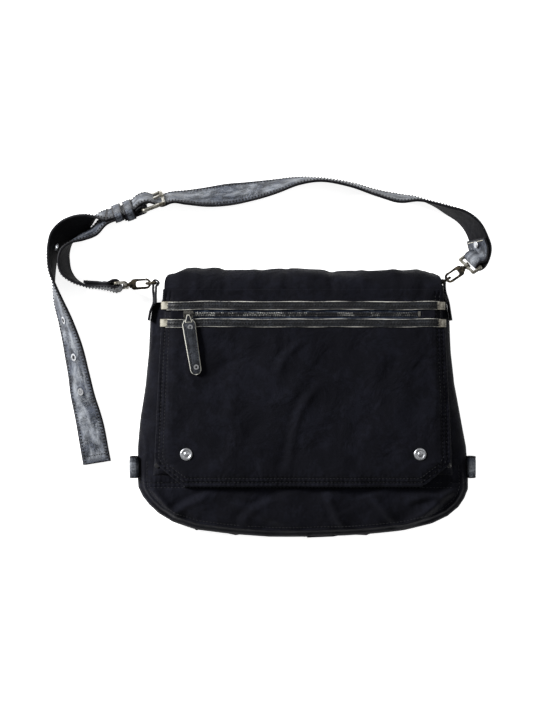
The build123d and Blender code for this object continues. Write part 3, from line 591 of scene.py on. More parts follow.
class Grain(EffectGroup):
    """Pebbled skin of leather."""

    name = "grain"
    inputs = (("Size", "NodeSocketFloat", 1.3),)
    outputs = ("Height",)

    def wire(self, tree: Tree, given: Node, made: Node) -> None:
        """Distance inside small cells, softened with noise."""
        scale = tree.maths("DIVIDE", 1.0, given.outputs["Size"])
        cells = tree.add("ShaderNodeTexVoronoi", feature="F1")
        tree.feed(cells.inputs["Vector"], given.outputs["Place"])
        tree.feed(cells.inputs["Scale"], scale)
        soft = tree.noise(given.outputs["Place"], 0.7, 4.0, 0.6)
        tree.feed(made.inputs["Height"], tree.maths("ADD", cells.outputs["Distance"], soft))


class EdgeBand(EffectGroup):
    """Band along a cut edge, with an uneven inner border."""

    name = "edge_band"
    inputs = (("Rim", "NodeSocketFloat", 50.0), ("Wide", "NodeSocketFloat", 1.5))

    def wire(self, tree: Tree, given: Node, made: Node) -> None:
        """1 where the distance from the edge is below the width, which noise moves a little."""
        wobble = tree.noise(given.outputs["Place"], 0.35, 3.0)
        edge = tree.maths("MULTIPLY_ADD", wobble, 0.9, given.outputs["Rim"])
        gap = tree.maths("SUBTRACT", tree.maths("ADD", given.outputs["Wide"], 0.45), edge)
        tree.feed(made.inputs["Mask"], tree.spread(gap, -0.25, 0.3))


Colour = tuple[float, float, float]


def rgba(colour: Colour) -> tuple[float, float, float, float]:
    """The colour with full cover."""
    return (*colour, 1.0)


@dataclass(frozen=True)
class Finish:
    """A surface finish, made into a material once."""

    name: str
    colour: Colour

    def material(self) -> bpy.types.Material:
        """The material, made on first use.

        Returns:
            The material.
        """
        for made in bpy.data.materials:
            if made.get("bag_finish") == self.name:
                return made
        made = bpy.data.materials.new(self.name)
        made["bag_finish"] = self.name
        made.use_nodes = True
        tree = Tree(made.node_tree)
        shader = made.node_tree.nodes["Principled BSDF"]
        shader.inputs["Base Color"].default_value = rgba(self.colour)
        self.wire(tree, shader)
        return made

    def wire(self, tree: Tree, shader: Node) -> None:
        """Joins the finish's nodes to the shader."""

    @staticmethod
    def bump(tree: Tree, shader: Node, height: Socket, strength: float, deep: float) -> None:
        """Feeds a height to the shader's normal.

        Args:
            tree: Where the nodes go.
            shader: The material's shader.
            height: Height output.
            strength: Strength of the bump.
            deep: Height of the bump in millimetres.
        """
        node = tree.add("ShaderNodeBump")
        tree.feed(node.inputs["Height"], height)
        node.inputs["Strength"].default_value = strength
        node.inputs["Distance"].default_value = deep * MM
        tree.feed(shader.inputs["Normal"], node.outputs[0])


@dataclass(frozen=True)
class Cloth(Finish):
    """Woven cloth with dusty, rubbed patches."""

    # Colour of the dusty, rubbed patches.
    rubbed_and_highlight: Colour = (0.03, 0.032, 0.04)
    patch: float = 60.0
    cover: float = 0.4
    pitch: float = 0.9
    streak: Colour | None = None
    crumple: float = 2.2

    def wire(self, tree: Tree, shader: Node) -> None:
        """Weave height, rubbed patches and, for a tape, light streaks along it."""
        place = tree.attribute("flat", "Vector")
        worn = tree.use(Mottle().build(), Place=place, Size=self.patch, Cover=self.cover)
        colour = tree.blend(worn.outputs["Mask"], rgba(self.colour), rgba(self.rubbed_and_highlight))
        if self.streak is not None:
            drawn = tree.noise(tree.scaled(place, (0.10, 0.9, 1.0)), 0.8, 5.0, 0.7)
            colour = tree.blend(tree.spread(drawn, 0.53, 0.68), colour, rgba(self.streak))
        weave = tree.use(Weave().build(), Place=place, Pitch=self.pitch)
        tree.feed(shader.inputs["Base Color"], colour)
        shader.inputs["Roughness"].default_value = 0.86
        shader.inputs["Specular IOR Level"].default_value = 0.12
        shader.inputs["Sheen Weight"].default_value = 0.03
        shader.inputs["Sheen Roughness"].default_value = 0.5
        soft = tree.noise(place, 0.028, 4.0, 0.5, 0.6)
        threads = tree.maths("MULTIPLY", weave.outputs["Height"], 0.05)
        height = tree.maths("MULTIPLY_ADD", soft, self.crumple, threads)
        self.bump(tree, shader, height, 1.0, 2.2)


@dataclass(frozen=True)
class Leather(Finish):
    """Leather with worn patches, crease lines, painted highlight streaks along its middle and an edge of
    its own colour.
    """

    worn: Colour = (0.3, 0.32, 0.34)
    # Light colour of the specks, the crack lines and the painted highlight streaks along the middle.
    bright: Colour = (0.5, 0.52, 0.54)
    rim: Colour = (0.02, 0.02, 0.024)
    rim_wide: float = 1.2
    patch: float = 26.0
    cover: float = 0.5
    cracked: float = 0.6
    # Strength of the painted highlight: light streaks along the strip's middle, away from its edges.
    rubbed_and_highlight: float = 0.55
    rough: float = 0.5

    def wire(self, tree: Tree, shader: Node) -> None:
        """Two sizes of wear over the dye, painted highlight streaks along the middle, cracks, the edge
        band, and the grain's height.
        """
        place = tree.attribute("flat", "Vector")
        wear = tree.use(Mottle().build(), Place=place, Size=self.patch, Cover=self.cover)
        cracks = tree.use(Cracks().build(), Place=place, Size=self.patch * 0.28)
        grain = tree.use(Grain().build(), Place=place, Size=1.3)
        rim = tree.attribute("rim", "Fac")
        edge = tree.use(EdgeBand().build(), Place=place, Rim=rim, Wide=self.rim_wide)
        colour = tree.blend(wear.outputs["Mask"], rgba(self.colour), rgba(self.worn))
        specks = tree.maths("MULTIPLY", wear.outputs["Specks"], 0.6)
        colour = tree.blend(specks, colour, rgba(self.bright))
        # Painted highlight: light streaks along the middle of the strip, fading out towards its edges.
        streaks = tree.noise(tree.scaled(place, (0.5, 1.0, 1.0)), 0.07, 7.0, 0.72, 0.4)
        inner = tree.maths("MULTIPLY", tree.spread(rim, 1.5, 9.5), self.rubbed_and_highlight)
        rubbed_and_highlight = tree.maths("MULTIPLY", tree.spread(streaks, 0.42, 0.72), inner)
        colour = tree.blend(rubbed_and_highlight, colour, rgba(self.bright))
        lines = tree.maths("MULTIPLY", cracks.outputs["Mask"], self.cracked)
        colour = tree.blend(lines, colour, rgba(self.bright))
        colour = tree.blend(edge.outputs["Mask"], colour, rgba(self.rim))
        tree.feed(shader.inputs["Base Color"], colour)
        rough = tree.maths("MULTIPLY_ADD", wear.outputs["Mask"], 0.18, self.rough)
        tree.feed(shader.inputs["Roughness"], rough)
        shader.inputs["Specular IOR Level"].default_value = 0.22
        height = tree.maths("SUBTRACT", grain.outputs["Height"], lines)
        self.bump(tree, shader, height, 0.35, 0.3)


@dataclass(frozen=True)
class Metal(Finish):
    """Old metal, tarnished in patches."""

    tarnish: Colour = (0.05, 0.045, 0.035)
    cover: float = 0.4
    rough: float = 0.35
    patch: float = 7.0

    def wire(self, tree: Tree, shader: Node) -> None:
        """Tarnish mask over the metal, rougher where it is tarnished."""
        coords = tree.add("ShaderNodeTexCoord")
        place = tree.scaled(coords.outputs["Object"], (1000.0, 1000.0, 1000.0))
        worn = tree.use(Mottle().build(), Place=place, Size=self.patch, Cover=self.cover)
        colour = tree.blend(worn.outputs["Mask"], rgba(self.colour), rgba(self.tarnish))
        tree.feed(shader.inputs["Base Color"], colour)
        shader.inputs["Metallic"].default_value = 0.92
        rough = tree.maths("MULTIPLY_ADD", worn.outputs["Mask"], 0.3, self.rough)
        tree.feed(shader.inputs["Roughness"], rough)
        fine = tree.noise(place, 1.2, 4.0, 0.6)
        self.bump(tree, shader, fine, 0.2, 0.12)


@dataclass(frozen=True)
class Thread(Finish):
    """Waxed thread."""

    def wire(self, tree: Tree, shader: Node) -> None:
        """A plain, slightly glossy surface."""
        shader.inputs["Roughness"].default_value = 0.6
        shader.inputs["Specular IOR Level"].default_value = 0.35


@dataclass(frozen=True)
class Paper(Finish):
    """Matt white ground."""

    glow: float = 0.85

    def wire(self, tree: Tree, shader: Node) -> None:
        """No gloss at all, and a little light of its own so that it stays white under shadows."""
        shader.inputs["Emission Color"].default_value = (1.0, 1.0, 1.0, 1.0)
        shader.inputs["Emission Strength"].default_value = self.glow
        shader.inputs["Roughness"].default_value = 1.0
        shader.inputs["Specular IOR Level"].default_value = 0.0


CANVAS = Cloth("canvas", (0.0010, 0.0011, 0.0034), rubbed_and_highlight=(0.0028, 0.0031, 0.0068), cover=0.45, patch=44.0)
LINING = Cloth("lining", (0.006, 0.006, 0.009), rubbed_and_highlight=(0.009, 0.009, 0.012), pitch=0.6)
WEBBING = Cloth("webbing", (0.0028, 0.0028, 0.0040), rubbed_and_highlight=(0.006, 0.006, 0.008), pitch=1.6)
ZIP_TAPE = Cloth("zip_tape", (0.007, 0.010, 0.018), rubbed_and_highlight=(0.014, 0.019, 0.032), pitch=0.6,
                 patch=16.0, streak=(0.10, 0.125, 0.17))
WORN = Leather("worn_leather", (0.006, 0.008, 0.013), worn=(0.040, 0.047, 0.064), patch=13.0,
               bright=(0.33, 0.35, 0.38), rim=(0.004, 0.004, 0.006), rim_wide=1.7, cover=0.5,
               rubbed_and_highlight=0.66)
DARK = Leather("dark_leather", (0.006, 0.006, 0.008), worn=(0.014, 0.015, 0.018), cover=0.35,
               bright=(0.05, 0.05, 0.055), cracked=0.3, rubbed_and_highlight=0.15)
CREAM = Leather("cream_leather", (0.31, 0.295, 0.245), worn=(0.10, 0.09, 0.075), cover=0.55,
                bright=(0.52, 0.50, 0.44), rim=(0.22, 0.20, 0.155), rim_wide=0.5, cracked=0.2,
                rubbed_and_highlight=0.2)
TRIM = Leather("trim_leather", (0.004, 0.0045, 0.006), worn=(0.014, 0.016, 0.021), cover=0.4,
               bright=(0.12, 0.125, 0.13), rim=(0.50, 0.49, 0.45), rim_wide=0.5, patch=16.0,
               cracked=0.35, rubbed_and_highlight=0.1)
PULL = Leather("pull_leather", (0.004, 0.005, 0.007), worn=(0.020, 0.023, 0.030), cover=0.5,
               bright=(0.10, 0.11, 0.13), rim=(0.46, 0.45, 0.40), rim_wide=0.8, patch=14.0,
               rubbed_and_highlight=0.22)
TEETH = Metal("zip_teeth_metal", (0.20, 0.20, 0.19), tarnish=(0.030, 0.030, 0.032), cover=0.62, patch=22.0)
ZIP_METAL = Metal("zip_metal", (0.17, 0.165, 0.15), tarnish=(0.028, 0.027, 0.025), cover=0.55)
SNAP_METAL = Metal("snap_metal", (0.46, 0.47, 0.49), tarnish=(0.14, 0.14, 0.15), cover=0.35)
NICKEL = Metal("old_nickel", (0.40, 0.39, 0.35), tarnish=(0.085, 0.075, 0.055), cover=0.55)
BRASS = Metal("old_brass", (0.11, 0.09, 0.06), tarnish=(0.022, 0.020, 0.018), cover=0.6)
BLACK_THREAD = Thread("black_thread", (0.006, 0.006, 0.007))
CANVAS_THREAD = Thread("canvas_thread", (0.0035, 0.0038, 0.006))
CREAM_THREAD = Thread("cream_thread", (0.55, 0.52, 0.43))
GROUND = Paper("ground", (0.80, 0.80, 0.80))


# ---- strips and stitches -------------------------------------------------------------------
@dataclass
class Path:
    """Middle line of a strip, with the way its face and its width point at each place.

    Attributes:
        at: (n, 3) places.
        normal: (n, 3) unit vectors out of its outer face.
        across: (n, 3) unit vectors along its width.
    """

    at: np.ndarray
    normal: np.ndarray
    across: np.ndarray

    def lengths(self) -> np.ndarray:
        """Distance run up to each place."""
        return run_lengths(self.at)

    def refined(self, step: float) -> "Path":
        """The same path with even short steps, through every place by cubic curves.

        Args:
            step: Distance between places.

        Returns:
            The new path.
        """
        knots = self.lengths()
        spots = np.linspace(0, knots[-1], max(3, int(knots[-1] / step) + 1))
        curves = [cubic(part, knots, spots) for part in (self.at, self.normal, self.across)]
        return Path(curves[0], unit(curves[1]), unit(curves[2]))

    def shifted(self, out: float, aside: float = 0.0) -> "Path":
        """The path moved out of its face and along its width."""
        return Path(self.at + self.normal * out + self.across * aside, self.normal, self.across)

    def turned_over(self) -> "Path":
        """The same path with its faces swapped."""
        return Path(self.at, -self.normal, self.across)


def cubic(values: np.ndarray, knots: np.ndarray, spots: np.ndarray) -> np.ndarray:
    """Values at the spots, by cubics whose slopes come from the neighbours on both sides.

    Args:
        values: (n, 3) values at the knots.
        knots: Distance run at each value.
        spots: Distances run to find values at.

    Returns:
        (m, 3) values.
    """
    slopes = np.gradient(values, knots, axis=0)
    left = np.clip(np.searchsorted(knots, spots) - 1, 0, len(knots) - 2)
    wide = (knots[left + 1] - knots[left])[:, None]
    t = (spots - knots[left])[:, None] / wide
    rise = values[left] * (2 * t**3 - 3 * t**2 + 1) + values[left + 1] * (3 * t**2 - 2 * t**3)
    lean = slopes[left] * (t**3 - 2 * t**2 + t) + slopes[left + 1] * (t**3 - t**2)
    return rise + lean * wide


@dataclass(frozen=True)
class Strip:
    """Flat strip with rounded edges, swept along a path.

    Attributes:
        wide: Width, or one width for each place.
        thick: Thickness.
        groove: Distance of a pressed stitch line from each edge, or 0 for none.
        bow: How far the middle of the outer face stands out.
        ring: True if the strip is a closed loop.
    """

    wide: float | np.ndarray
    thick: float
    groove: float = 0.0
    bow: float = 0.0
    ring: bool = False

    def skin(self, path: Path, seed: int = 0) -> Grid:
        """Closed surface of the strip.

        Args:
            path: Where it runs.
            seed: Changes the small waves of its edges.

        Returns:
            A grid whose rows follow the path and whose columns go round the section.
        """
        count = len(path.at)
        wide = np.broadcast_to(self.wide, count)[:, None]
        round_off = min(0.9, self.thick * 0.45)
        face = np.linspace(-1, 1, 19)
        bend = np.radians(np.linspace(60, -60, 4))
        shares = np.concatenate([face, np.ones(4), face[::-1], -np.ones(4)])
        outs = np.concatenate([np.ones(19), np.sin(bend), -np.ones(19), np.sin(bend)[::-1]])
        swell = np.concatenate([np.zeros(19), np.cos(bend), np.zeros(19), -np.cos(bend)[::-1]])
        aside = shares * (wide / 2 - round_off) + swell * round_off
        run = path.lengths()
        aside = aside + 0.22 * ripples(run[:, None], aside * 0.2, 34.0, seed + 5)
        out = outs * self.thick / 2 + 0 * aside
        front = (outs > 0.99) * 1.0
        out = out + front * self.bow * (1 - shares**2)
        if self.groove:
            edge = wide / 2 - np.abs(aside)
            out = out - front * 0.35 * hill(edge - self.groove, 1.1)
        sideways = path.across[:, None] * aside[..., None]
        points = path.at[:, None] + sideways + path.normal[:, None] * out[..., None]
        rim = np.maximum(wide / 2 - np.abs(aside), 0) + 0 * out
        along = np.repeat(run[:, None], len(shares), axis=1)
        if not self.ring:
            points, rim, along, aside = self.capped(points, rim, along, aside)
            rim = np.minimum(rim, np.minimum(along, run[-1] - along) + 0.01)
        flat = np.stack([along + 37.0 * seed, aside], axis=-1)
        return Grid(points, flat, rim, ring_rows=self.ring, ring_columns=True)

    @staticmethod
    def capped(points: np.ndarray, rim: np.ndarray, along: np.ndarray,
               aside: np.ndarray) -> tuple[np.ndarray, ...]:
        """Adds end rows that close the strip on its middle line.

        Args:
            points: Points of the open skin.
            rim: Rim distances.
            along: Distances along.
            aside: Distances across.

        Returns:
            Points, rim distances, distances along and across.
        """
        middle = points.mean(axis=1, keepdims=True)
        first = middle[:1] + (points[:1] - middle[:1]) * 0.002
        last = middle[-1:] + (points[-1:] - middle[-1:]) * 0.002
        points = np.concatenate([first, points, last])
        doubled = [np.concatenate([part[:1], part, part[-1:]]) for part in (rim, along, aside)]
        return points, *doubled


@dataclass(frozen=True)
class Stitching:
    """A row of stitches: short beads of thread lying on a surface.

    Attributes:
        step: Start of one stitch to the start of the next.
        long: Length of a stitch.
        thick: Thread thickness.
        slant: Turn of each stitch away from the row, in degrees.
    """

    step: float = 4.2
    long: float = 3.0
    thick: float = 0.8
    slant: float = 0.0

    def beads(self, path: Path) -> list[Grid]:
        """Skins of all the stitches along a path, whose middle line lies on the surface.

        Args:
            path: Line on the surface.

        Returns:
            One skin for each stitch.
        """
        run = path.lengths()
        middles = np.arange(self.step / 2, run[-1] - self.step / 2, self.step)
        spots = [np.stack([np.interp(middles, run, part[:, k]) for k in range(3)], -1)
                 for part in (path.at, path.normal, path.across)]
        at, normal, across = spots[0], unit(spots[1]), unit(spots[2])
        ahead = unit(np.cross(across, normal))
        turn = np.radians(self.slant)
        way = ahead * np.cos(turn) + across * np.sin(turn)
        side = unit(np.cross(normal, way))
        stops = np.array([-0.5, -0.32, 0.32, 0.5])
        size = np.array([0.1, 1.0, 1.0, 0.1]) * self.thick / 2
        round_turn = np.radians(np.arange(6) * 60.0)
        rings = []
        for stop, radius in zip(stops, size):
            middle = at + way * (stop * self.long) + normal * (radius * 0.5)
            ring = middle[:, None] + radius * (side[:, None] * np.cos(round_turn)[None, :, None]
                                               + normal[:, None] * np.sin(round_turn)[None, :, None])
            rings.append(ring)
        beads = np.stack(rings, axis=1)
        return [ringed_grid(bead) for bead in beads]


def stitches(name: str, rows: list[Path], kind: Stitching, thread: Thread, body: Body) -> Piece:
    """All the stitches along several rows as one piece.

    Args:
        name: Name of the piece.
        rows: Paths of the rows.
        kind: Sizes of the stitches.
        thread: Their finish.
        body: Body that they ride on.

    Returns:
        The piece.
    """
    grids = [bead for row in rows for bead in kind.beads(row)]
    piece = write_mesh(name, grids, thread.material())
    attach(piece, body.value)
    return piece


def line_path(points: np.ndarray | list, normal: np.ndarray, step: float = 3.0) -> Path:
    """A path through a few points with one normal, refined to short steps.

    Args:
        points: Places in order.
        normal: The way that the face looks.
        step: Distance between places.

    Returns:
        The path.
    """
    at = np.asarray(points, float)
    ahead = unit(np.gradient(at, axis=0))
    normals = np.broadcast_to(np.asarray(normal, float), at.shape)
    across = unit(np.cross(normals, ahead))
    return Path(at, unit(normals), across).refined(step)


# ---- bag body ------------------------------------------------------------------------------
@dataclass
class Shell:
    """The bag's soft box: front, lower band, gussets, back, lining, pocket and loops.

    Attributes:
        top_y: Top edge of the front and the gussets.
        high: Height of the front above the back.
        seam_high: Height of the seam between the front and the gusset.
        rise: Distance in from the outline where the front reaches its full height.
        band_y: Seam above the lower band.
        roll_y: Seam where the flap starts.
        cloth: Thickness of the canvas.
        welt_in: Ridge of the piped seam, in from the outline.
        centre_seam_x: Seam down the middle of the lower band.
        foot_y: Lowest edge.
        lining: Thickness of the lining.
        pocket_cloth: Thickness of the front pocket's cloth.
        pocket_top: Its mouth.
        pocket_foot: Its foot.
        pocket_halves: Its half widths at foot and mouth.
        pocket_room: Its depth.
        loop_out: How far the side loops stand out.
        loop_high: Their height.
        loop_wide: Their length along the gusset.
        loop_y: Their middle along the bag.
        loop_z: Their middle above the ground.
        tab_wide: Width of the strap tabs.
        tab_thick: Thickness of their leather.
        ring_y: Bar of the strap's rings.
        ring_z: Its height.
        ring_xs: Its places on the left and the right.
        left: (Y, half width) pairs of the left outline.
        right: The same on the right.
        folds: Creases of the front.
    """

    top_y: float = 120.0
    high: float = 36.0
    seam_high: float = 15.0
    rise: float = 30.0
    band_y: float = -98.0
    roll_y: float = 135.0
    cloth: float = 1.6
    welt_in: float = 8.5
    centre_seam_x: float = 7.0
    foot_y: float = -163.5
    lining: float = 0.6
    pocket_cloth: float = 1.4
    pocket_top: float = 62.0
    pocket_foot: float = -88.0
    pocket_halves: tuple[float, float] = (180.0, 169.0)
    pocket_room: float = 5.4
    loop_out: float = 11.0
    loop_high: float = 24.0
    loop_wide: float = 26.0
    loop_y: float = -79.0
    loop_z: float = 18.0
    tab_wide: float = 20.0
    tab_thick: float = 2.0
    ring_y: float = 143.5
    ring_z: float = 24.0
    ring_xs: tuple[float, float] = (-177.5, 168.0)
    left: tuple = ((-163.5, 42), (-160, 90), (-154.8, 129.6), (-145.8, 157), (-135.5, 174), (-124.5, 186),
                   (-115, 193.5), (-104, 198.8), (-93.6, 199.5), (-55, 199.5), (-16.8, 195.6),
                   (21.6, 189.6), (60, 186), (98, 184.5), (112, 182), (120, 178))
    right: tuple = ((-163.5, 6), (-162.7, 40), (-160.5, 80), (-156, 122), (-147.5, 157),
                    (-138.5, 176), (-127.5, 189), (-117, 196), (-106, 200.5), (-93.6, 200.5),
                    (-55, 197.8), (-16.8, 190.8),
                    (21.6, 183.5), (60, 179.5), (98, 177.5), (120, 174))
    folds: tuple[Crease, ...] = (
        Crease((104, -150), (196, -108), 5.5, 4.2), Crease((120, -128), (186, -100), 4.5, 2.8),
        Crease((70, -112), (132, -152), 5.0, 2.4), Crease((-194, -102), (-140, -138), 4.5, 4.0),
        Crease((-112, -104), (-160, -146), 5.0, 2.6), Crease((-30, -108), (-80, -156), 5.5, 2.0),
        Crease((20, -106), (60, -158), 5.5, 2.2), Crease((-100, -128), (-10, -140), 6.0, 1.6),
        Crease((192, -40), (186, 30), 3.0, 1.6), Crease((-192, 50), (-180, 110), 3.5, 1.8),
        Crease((-196, -20), (-190, -80), 3.0, 1.5),
    )

    def half(self, y: np.ndarray, hand: Hand) -> np.ndarray:
        """Half width of the outline at a height."""
        table = np.array(self.left if hand is Hand.LEFT else self.right, float)
        return np.interp(y, table[:, 0], table[:, 1])

    def outline(self) -> np.ndarray:
        """(n, 2) points down the left side, along the foot and up the right side.

        Returns:
            (n, 2) points.
        """
        rows = np.concatenate([np.linspace(self.top_y, -100, 70), np.linspace(-101, self.foot_y, 46)])
        left = np.stack([-self.half(rows, Hand.LEFT), rows], -1)
        foot = np.stack([np.linspace(-41, 5, 12), np.full(12, self.foot_y - 0.1)], -1)
        right = np.stack([self.half(rows, Hand.RIGHT), rows], -1)[::-1]
        return np.concatenate([left, foot, right])

    def inwards(self, x: np.ndarray, y: np.ndarray) -> np.ndarray:
        """Distance in from the outline.

        Args:
            x: Places across.
            y: Places along.

        Returns:
            Distances.
        """
        line = self.outline()
        flat = np.stack([x.ravel(), y.ravel()], -1)
        best = np.full(len(flat), 1e9)
        for first, last in zip(line[:-1], line[1:]):
            run = last - first
            share = np.clip(((flat - first) @ run) / max(run @ run, 1e-9), 0, 1)
            gap = np.linalg.norm(flat - first - share[:, None] * run, axis=1)
            best = np.minimum(best, gap)
        return best.reshape(x.shape)

    def front_height(self, x: np.ndarray, y: np.ndarray) -> np.ndarray:
        """Height of the front: rounded towards the gusset seam, with its welt and folds.

        Args:
            x: Places across.
            y: Places along.

        Returns:
            Heights.
        """
        deep = self.inwards(x, y)
        share = np.clip(deep / self.rise, 0, 1)
        height = self.seam_high + (self.high - self.seam_high) * np.sqrt(1 - (1 - share) ** 2)
        lower = smooth((self.band_y + 40 - y) / 40)
        height = height + 1.7 * hill(deep - self.welt_in, 1.6) * lower
        height = height - 1.1 * hill(deep - self.welt_in + 3.4, 1.8) * lower
        seam = hill(x - self.centre_seam_x, 1.1) * smooth((self.welt_in - deep) / 4) * lower
        height = height - 1.0 * seam
        for fold in self.folds:
            height = height + fold.lift(x, y) * smooth(deep / 5)
        height = height + 1.1 * ripples(x, y, 40.0, 3) * smooth(deep / 14)
        rows = hill(y - (self.band_y + 1), 1.0) + hill(y - (self.band_y - 5), 1.0)
        beside = hill(y - (self.band_y + 4), 2.2) + hill(y - (self.band_y - 2), 2.2)
        beat = np.sin(x * 2 * np.pi / PUCKER_STEP) * beside
        return height + (0.45 * beat - 0.8 * rows) * smooth(deep / 14)

    def cloth_grid(self, rows: np.ndarray, columns: int = 250) -> Grid:
        """Front cloth between two heights.

        Args:
            rows: Y of each row.
            columns: Points across.

        Returns:
            The grid.
        """
        share = np.sin(np.linspace(-1, 1, columns) * np.pi / 2)
        share = 0.55 * share + 0.45 * np.linspace(-1, 1, columns)
        y = np.repeat(rows[:, None], columns, axis=1)
        half = np.where(share[None, :] < 0, self.half(y, Hand.LEFT), self.half(y, Hand.RIGHT))
        x = share[None, :] * half
        points = np.stack([x, y, self.front_height(x, y)], -1)
        return sheet_grid(points)

    def make(self) -> None:
        """Builds every piece of the shell."""
        front = self.cloth_grid(np.linspace(self.top_y, self.band_y, 90))
        cloth("front_cloth", [front], CANVAS, UP, self.cloth, Body.BAG, "canvas", "front_panel")
        band = self.cloth_grid(np.linspace(self.band_y, self.foot_y, 70))
        cloth("lower_band_cloth", [band], CANVAS, UP, self.cloth, Body.BAG, "canvas", "front_lower_band",
              "gusset_bottom")
        self.make_gusset()
        self.make_back()
        self.make_lining()
        self.make_pocket()
        self.make_seams()
        for hand in Hand:
            self.make_side_loop(hand)
            self.make_strap_tab(hand)

    def make_gusset(self) -> None:
        """Side wall from the front's seam round to the back, bulging a little."""
        line = self.outline()
        ahead = unit(np.gradient(line, axis=0))
        outwards = np.stack([ahead[:, 1], -ahead[:, 0]], -1) * -1
        middle = line - np.array([0, -20])
        if (outwards * middle).sum() < 0:
            outwards = -outwards
        share = np.linspace(0, 1, 12)[:, None]
        run = run_lengths(line)
        height = self.seam_high * (1 - share) + 0.3 * share + 0 * run
        bulge = 1.2 * np.sin(np.pi * share) - 3.0 * share**4 + 0.5 * ripples(run, height, 40, 8) * share
        points = np.concatenate([line[None] + outwards[None] * bulge[..., None], height[..., None]], -1)
        flat = np.stack([run + 0 * height, height], -1)
        wall = write_mesh("gusset_cloth", [sheet_grid(points, flat)], CANVAS.material(), facing=UP)
        self.face_outwards(wall)
        place(thicken(wall, self.cloth), Body.BAG, "canvas", "gusset_left", "gusset_right")

    @staticmethod
    def face_outwards(piece: Piece) -> None:
        """Turns a wall's faces so that they look away from the bag's middle.

        Args:
            piece: The piece.
        """
        mesh = piece.data
        count = len(mesh.polygons)
        middles, normals = np.zeros(count * 3), np.zeros(count * 3)
        mesh.polygons.foreach_get("center", middles)
        mesh.polygons.foreach_get("normal", normals)
        flat = middles.reshape(-1, 3)[:, :2] - np.array([0, -0.02])
        if (flat * normals.reshape(-1, 3)[:, :2]).sum() < 0:
            mesh.flip_normals()

    def make_back(self) -> None:
        """Back cloth, flat on the ground, up to the seam of the flap's roll."""
        rows = np.concatenate([np.linspace(self.roll_y, self.top_y, 5),
                               np.linspace(self.top_y - 4, self.foot_y + 2, 50)])
        y = np.repeat(rows[:, None], 60, axis=1)
        share = np.linspace(-1, 1, 60)[None]
        half = np.where(share < 0, self.half(y, Hand.LEFT), self.half(y, Hand.RIGHT)) - 4.0
        x = share * np.minimum(half, 166 + (self.roll_y - y) * 0.45)
        points = np.stack([x, y, 0.4 + 0 * x], -1)
        cloth("back_cloth", [sheet_grid(points)], CANVAS, -UP, self.cloth, Body.BAG, "canvas", "back_panel")

    def make_lining(self) -> None:
        """Two inner cloths, inside the front and on the back."""
        grids = []
        for low in (True, False):
            y = np.repeat(np.linspace(self.top_y - 1, -146, 44)[:, None], 50, axis=1)
            half = np.minimum(self.half(y, Hand.LEFT), self.half(y, Hand.RIGHT)) - 9.0
            x = np.linspace(-1, 1, 50)[None] * half
            height = 2.6 + 0.4 * ripples(x, y, 60, 4) if low else self.front_height(x, y) - 3.6
            points = np.stack([x, y, height], -1)
            grids.append(sheet_grid(points))
        cloth("lining_cloth", grids, LINING, UP, self.lining, Body.BAG, "lining", "lining_back",
              "lining_front")

    def make_pocket(self) -> None:
        """Slim pocket on the front, under the flap, with a hemmed mouth."""
        top, foot = self.pocket_top, self.pocket_foot
        y = np.repeat(np.linspace(top, foot, 64)[:, None], 120, axis=1)
        half = np.interp(y, (foot, top), self.pocket_halves)
        x = np.linspace(-1, 1, 120)[None] * half
        edge = np.minimum(half - np.abs(x), y - foot)
        hem = 0.4 * hill(top - y - 14, 1.0) + 0.4 * hill(top - y - 3, 1.0)
        lift = self.pocket_room * smooth(edge / 7) + 0.9 - hem
        sag = 0.9 * ripples(x, y, 70, 21) * smooth(edge / 20) * smooth((top + 2 - y) / 10)
        points = np.stack([x, y, np.maximum(self.front_height(x, y), 30) + lift + sag - 0.6], -1)
        cloth("pocket_cloth", [sheet_grid(points)], CANVAS, UP, self.pocket_cloth, Body.BAG, "canvas",
              "front_pocket")

    def make_seams(self) -> None:
        """Double topstitching above the lower band, and single beside the welt."""
        rows = []
        for offset in (1.0, -5.0):
            x = np.linspace(-184, 184, 90)
            y = np.full(90, self.band_y + offset)
            rows.append(line_path(np.stack([x, y, self.front_height(x, y) + 0.1], -1), UP))
        stitches("band_stitches", rows, Stitching(), CANVAS_THREAD, Body.BAG)
        line = self.outline()[60:-60]
        ahead = unit(np.gradient(line, axis=0))
        inner = line + np.stack([-ahead[:, 1], ahead[:, 0]], -1) * (self.welt_in + 3.6)
        height = self.front_height(inner[:, 0], inner[:, 1]) + 0.1
        welt = line_path(np.column_stack([inner, height]), UP)
        stitches("welt_stitches", [welt], Stitching(), CANVAS_THREAD, Body.BAG)

    def make_side_loop(self, hand: Hand) -> None:
        """Leather loop on the gusset.

        Args:
            hand: Side of the bag.
        """
        out, high = self.loop_out, self.loop_high
        base = float(self.half(np.array(self.loop_y), hand)) - 1.0
        turn = np.radians(np.arange(0, 360, 7.5))
        wide = np.abs(np.cos(turn)) ** 0.55 * np.sign(np.cos(turn)) * (out - 2) / 2
        tall = np.abs(np.sin(turn)) ** 0.55 * np.sign(np.sin(turn)) * (high - 2) / 2
        at = np.stack([hand.value * (base + out / 2 + wide), 0 * wide + self.loop_y,
                       self.loop_z + tall], -1)
        normal = unit(np.stack([hand.value * wide / out, 0 * wide, tall / high], -1))
        across = np.broadcast_to(ALONG, at.shape)
        path = Path(at, normal, across)
        skin = Strip(self.loop_wide, 2.0, groove=3.0, ring=True).skin(path, seed=11 + hand.value)
        name = f"side_loop_{hand.word}"
        piece = write_mesh(f"{name}_leather", [skin], WORN.material())
        place(piece, Body.BAG, "worn_leather", name)

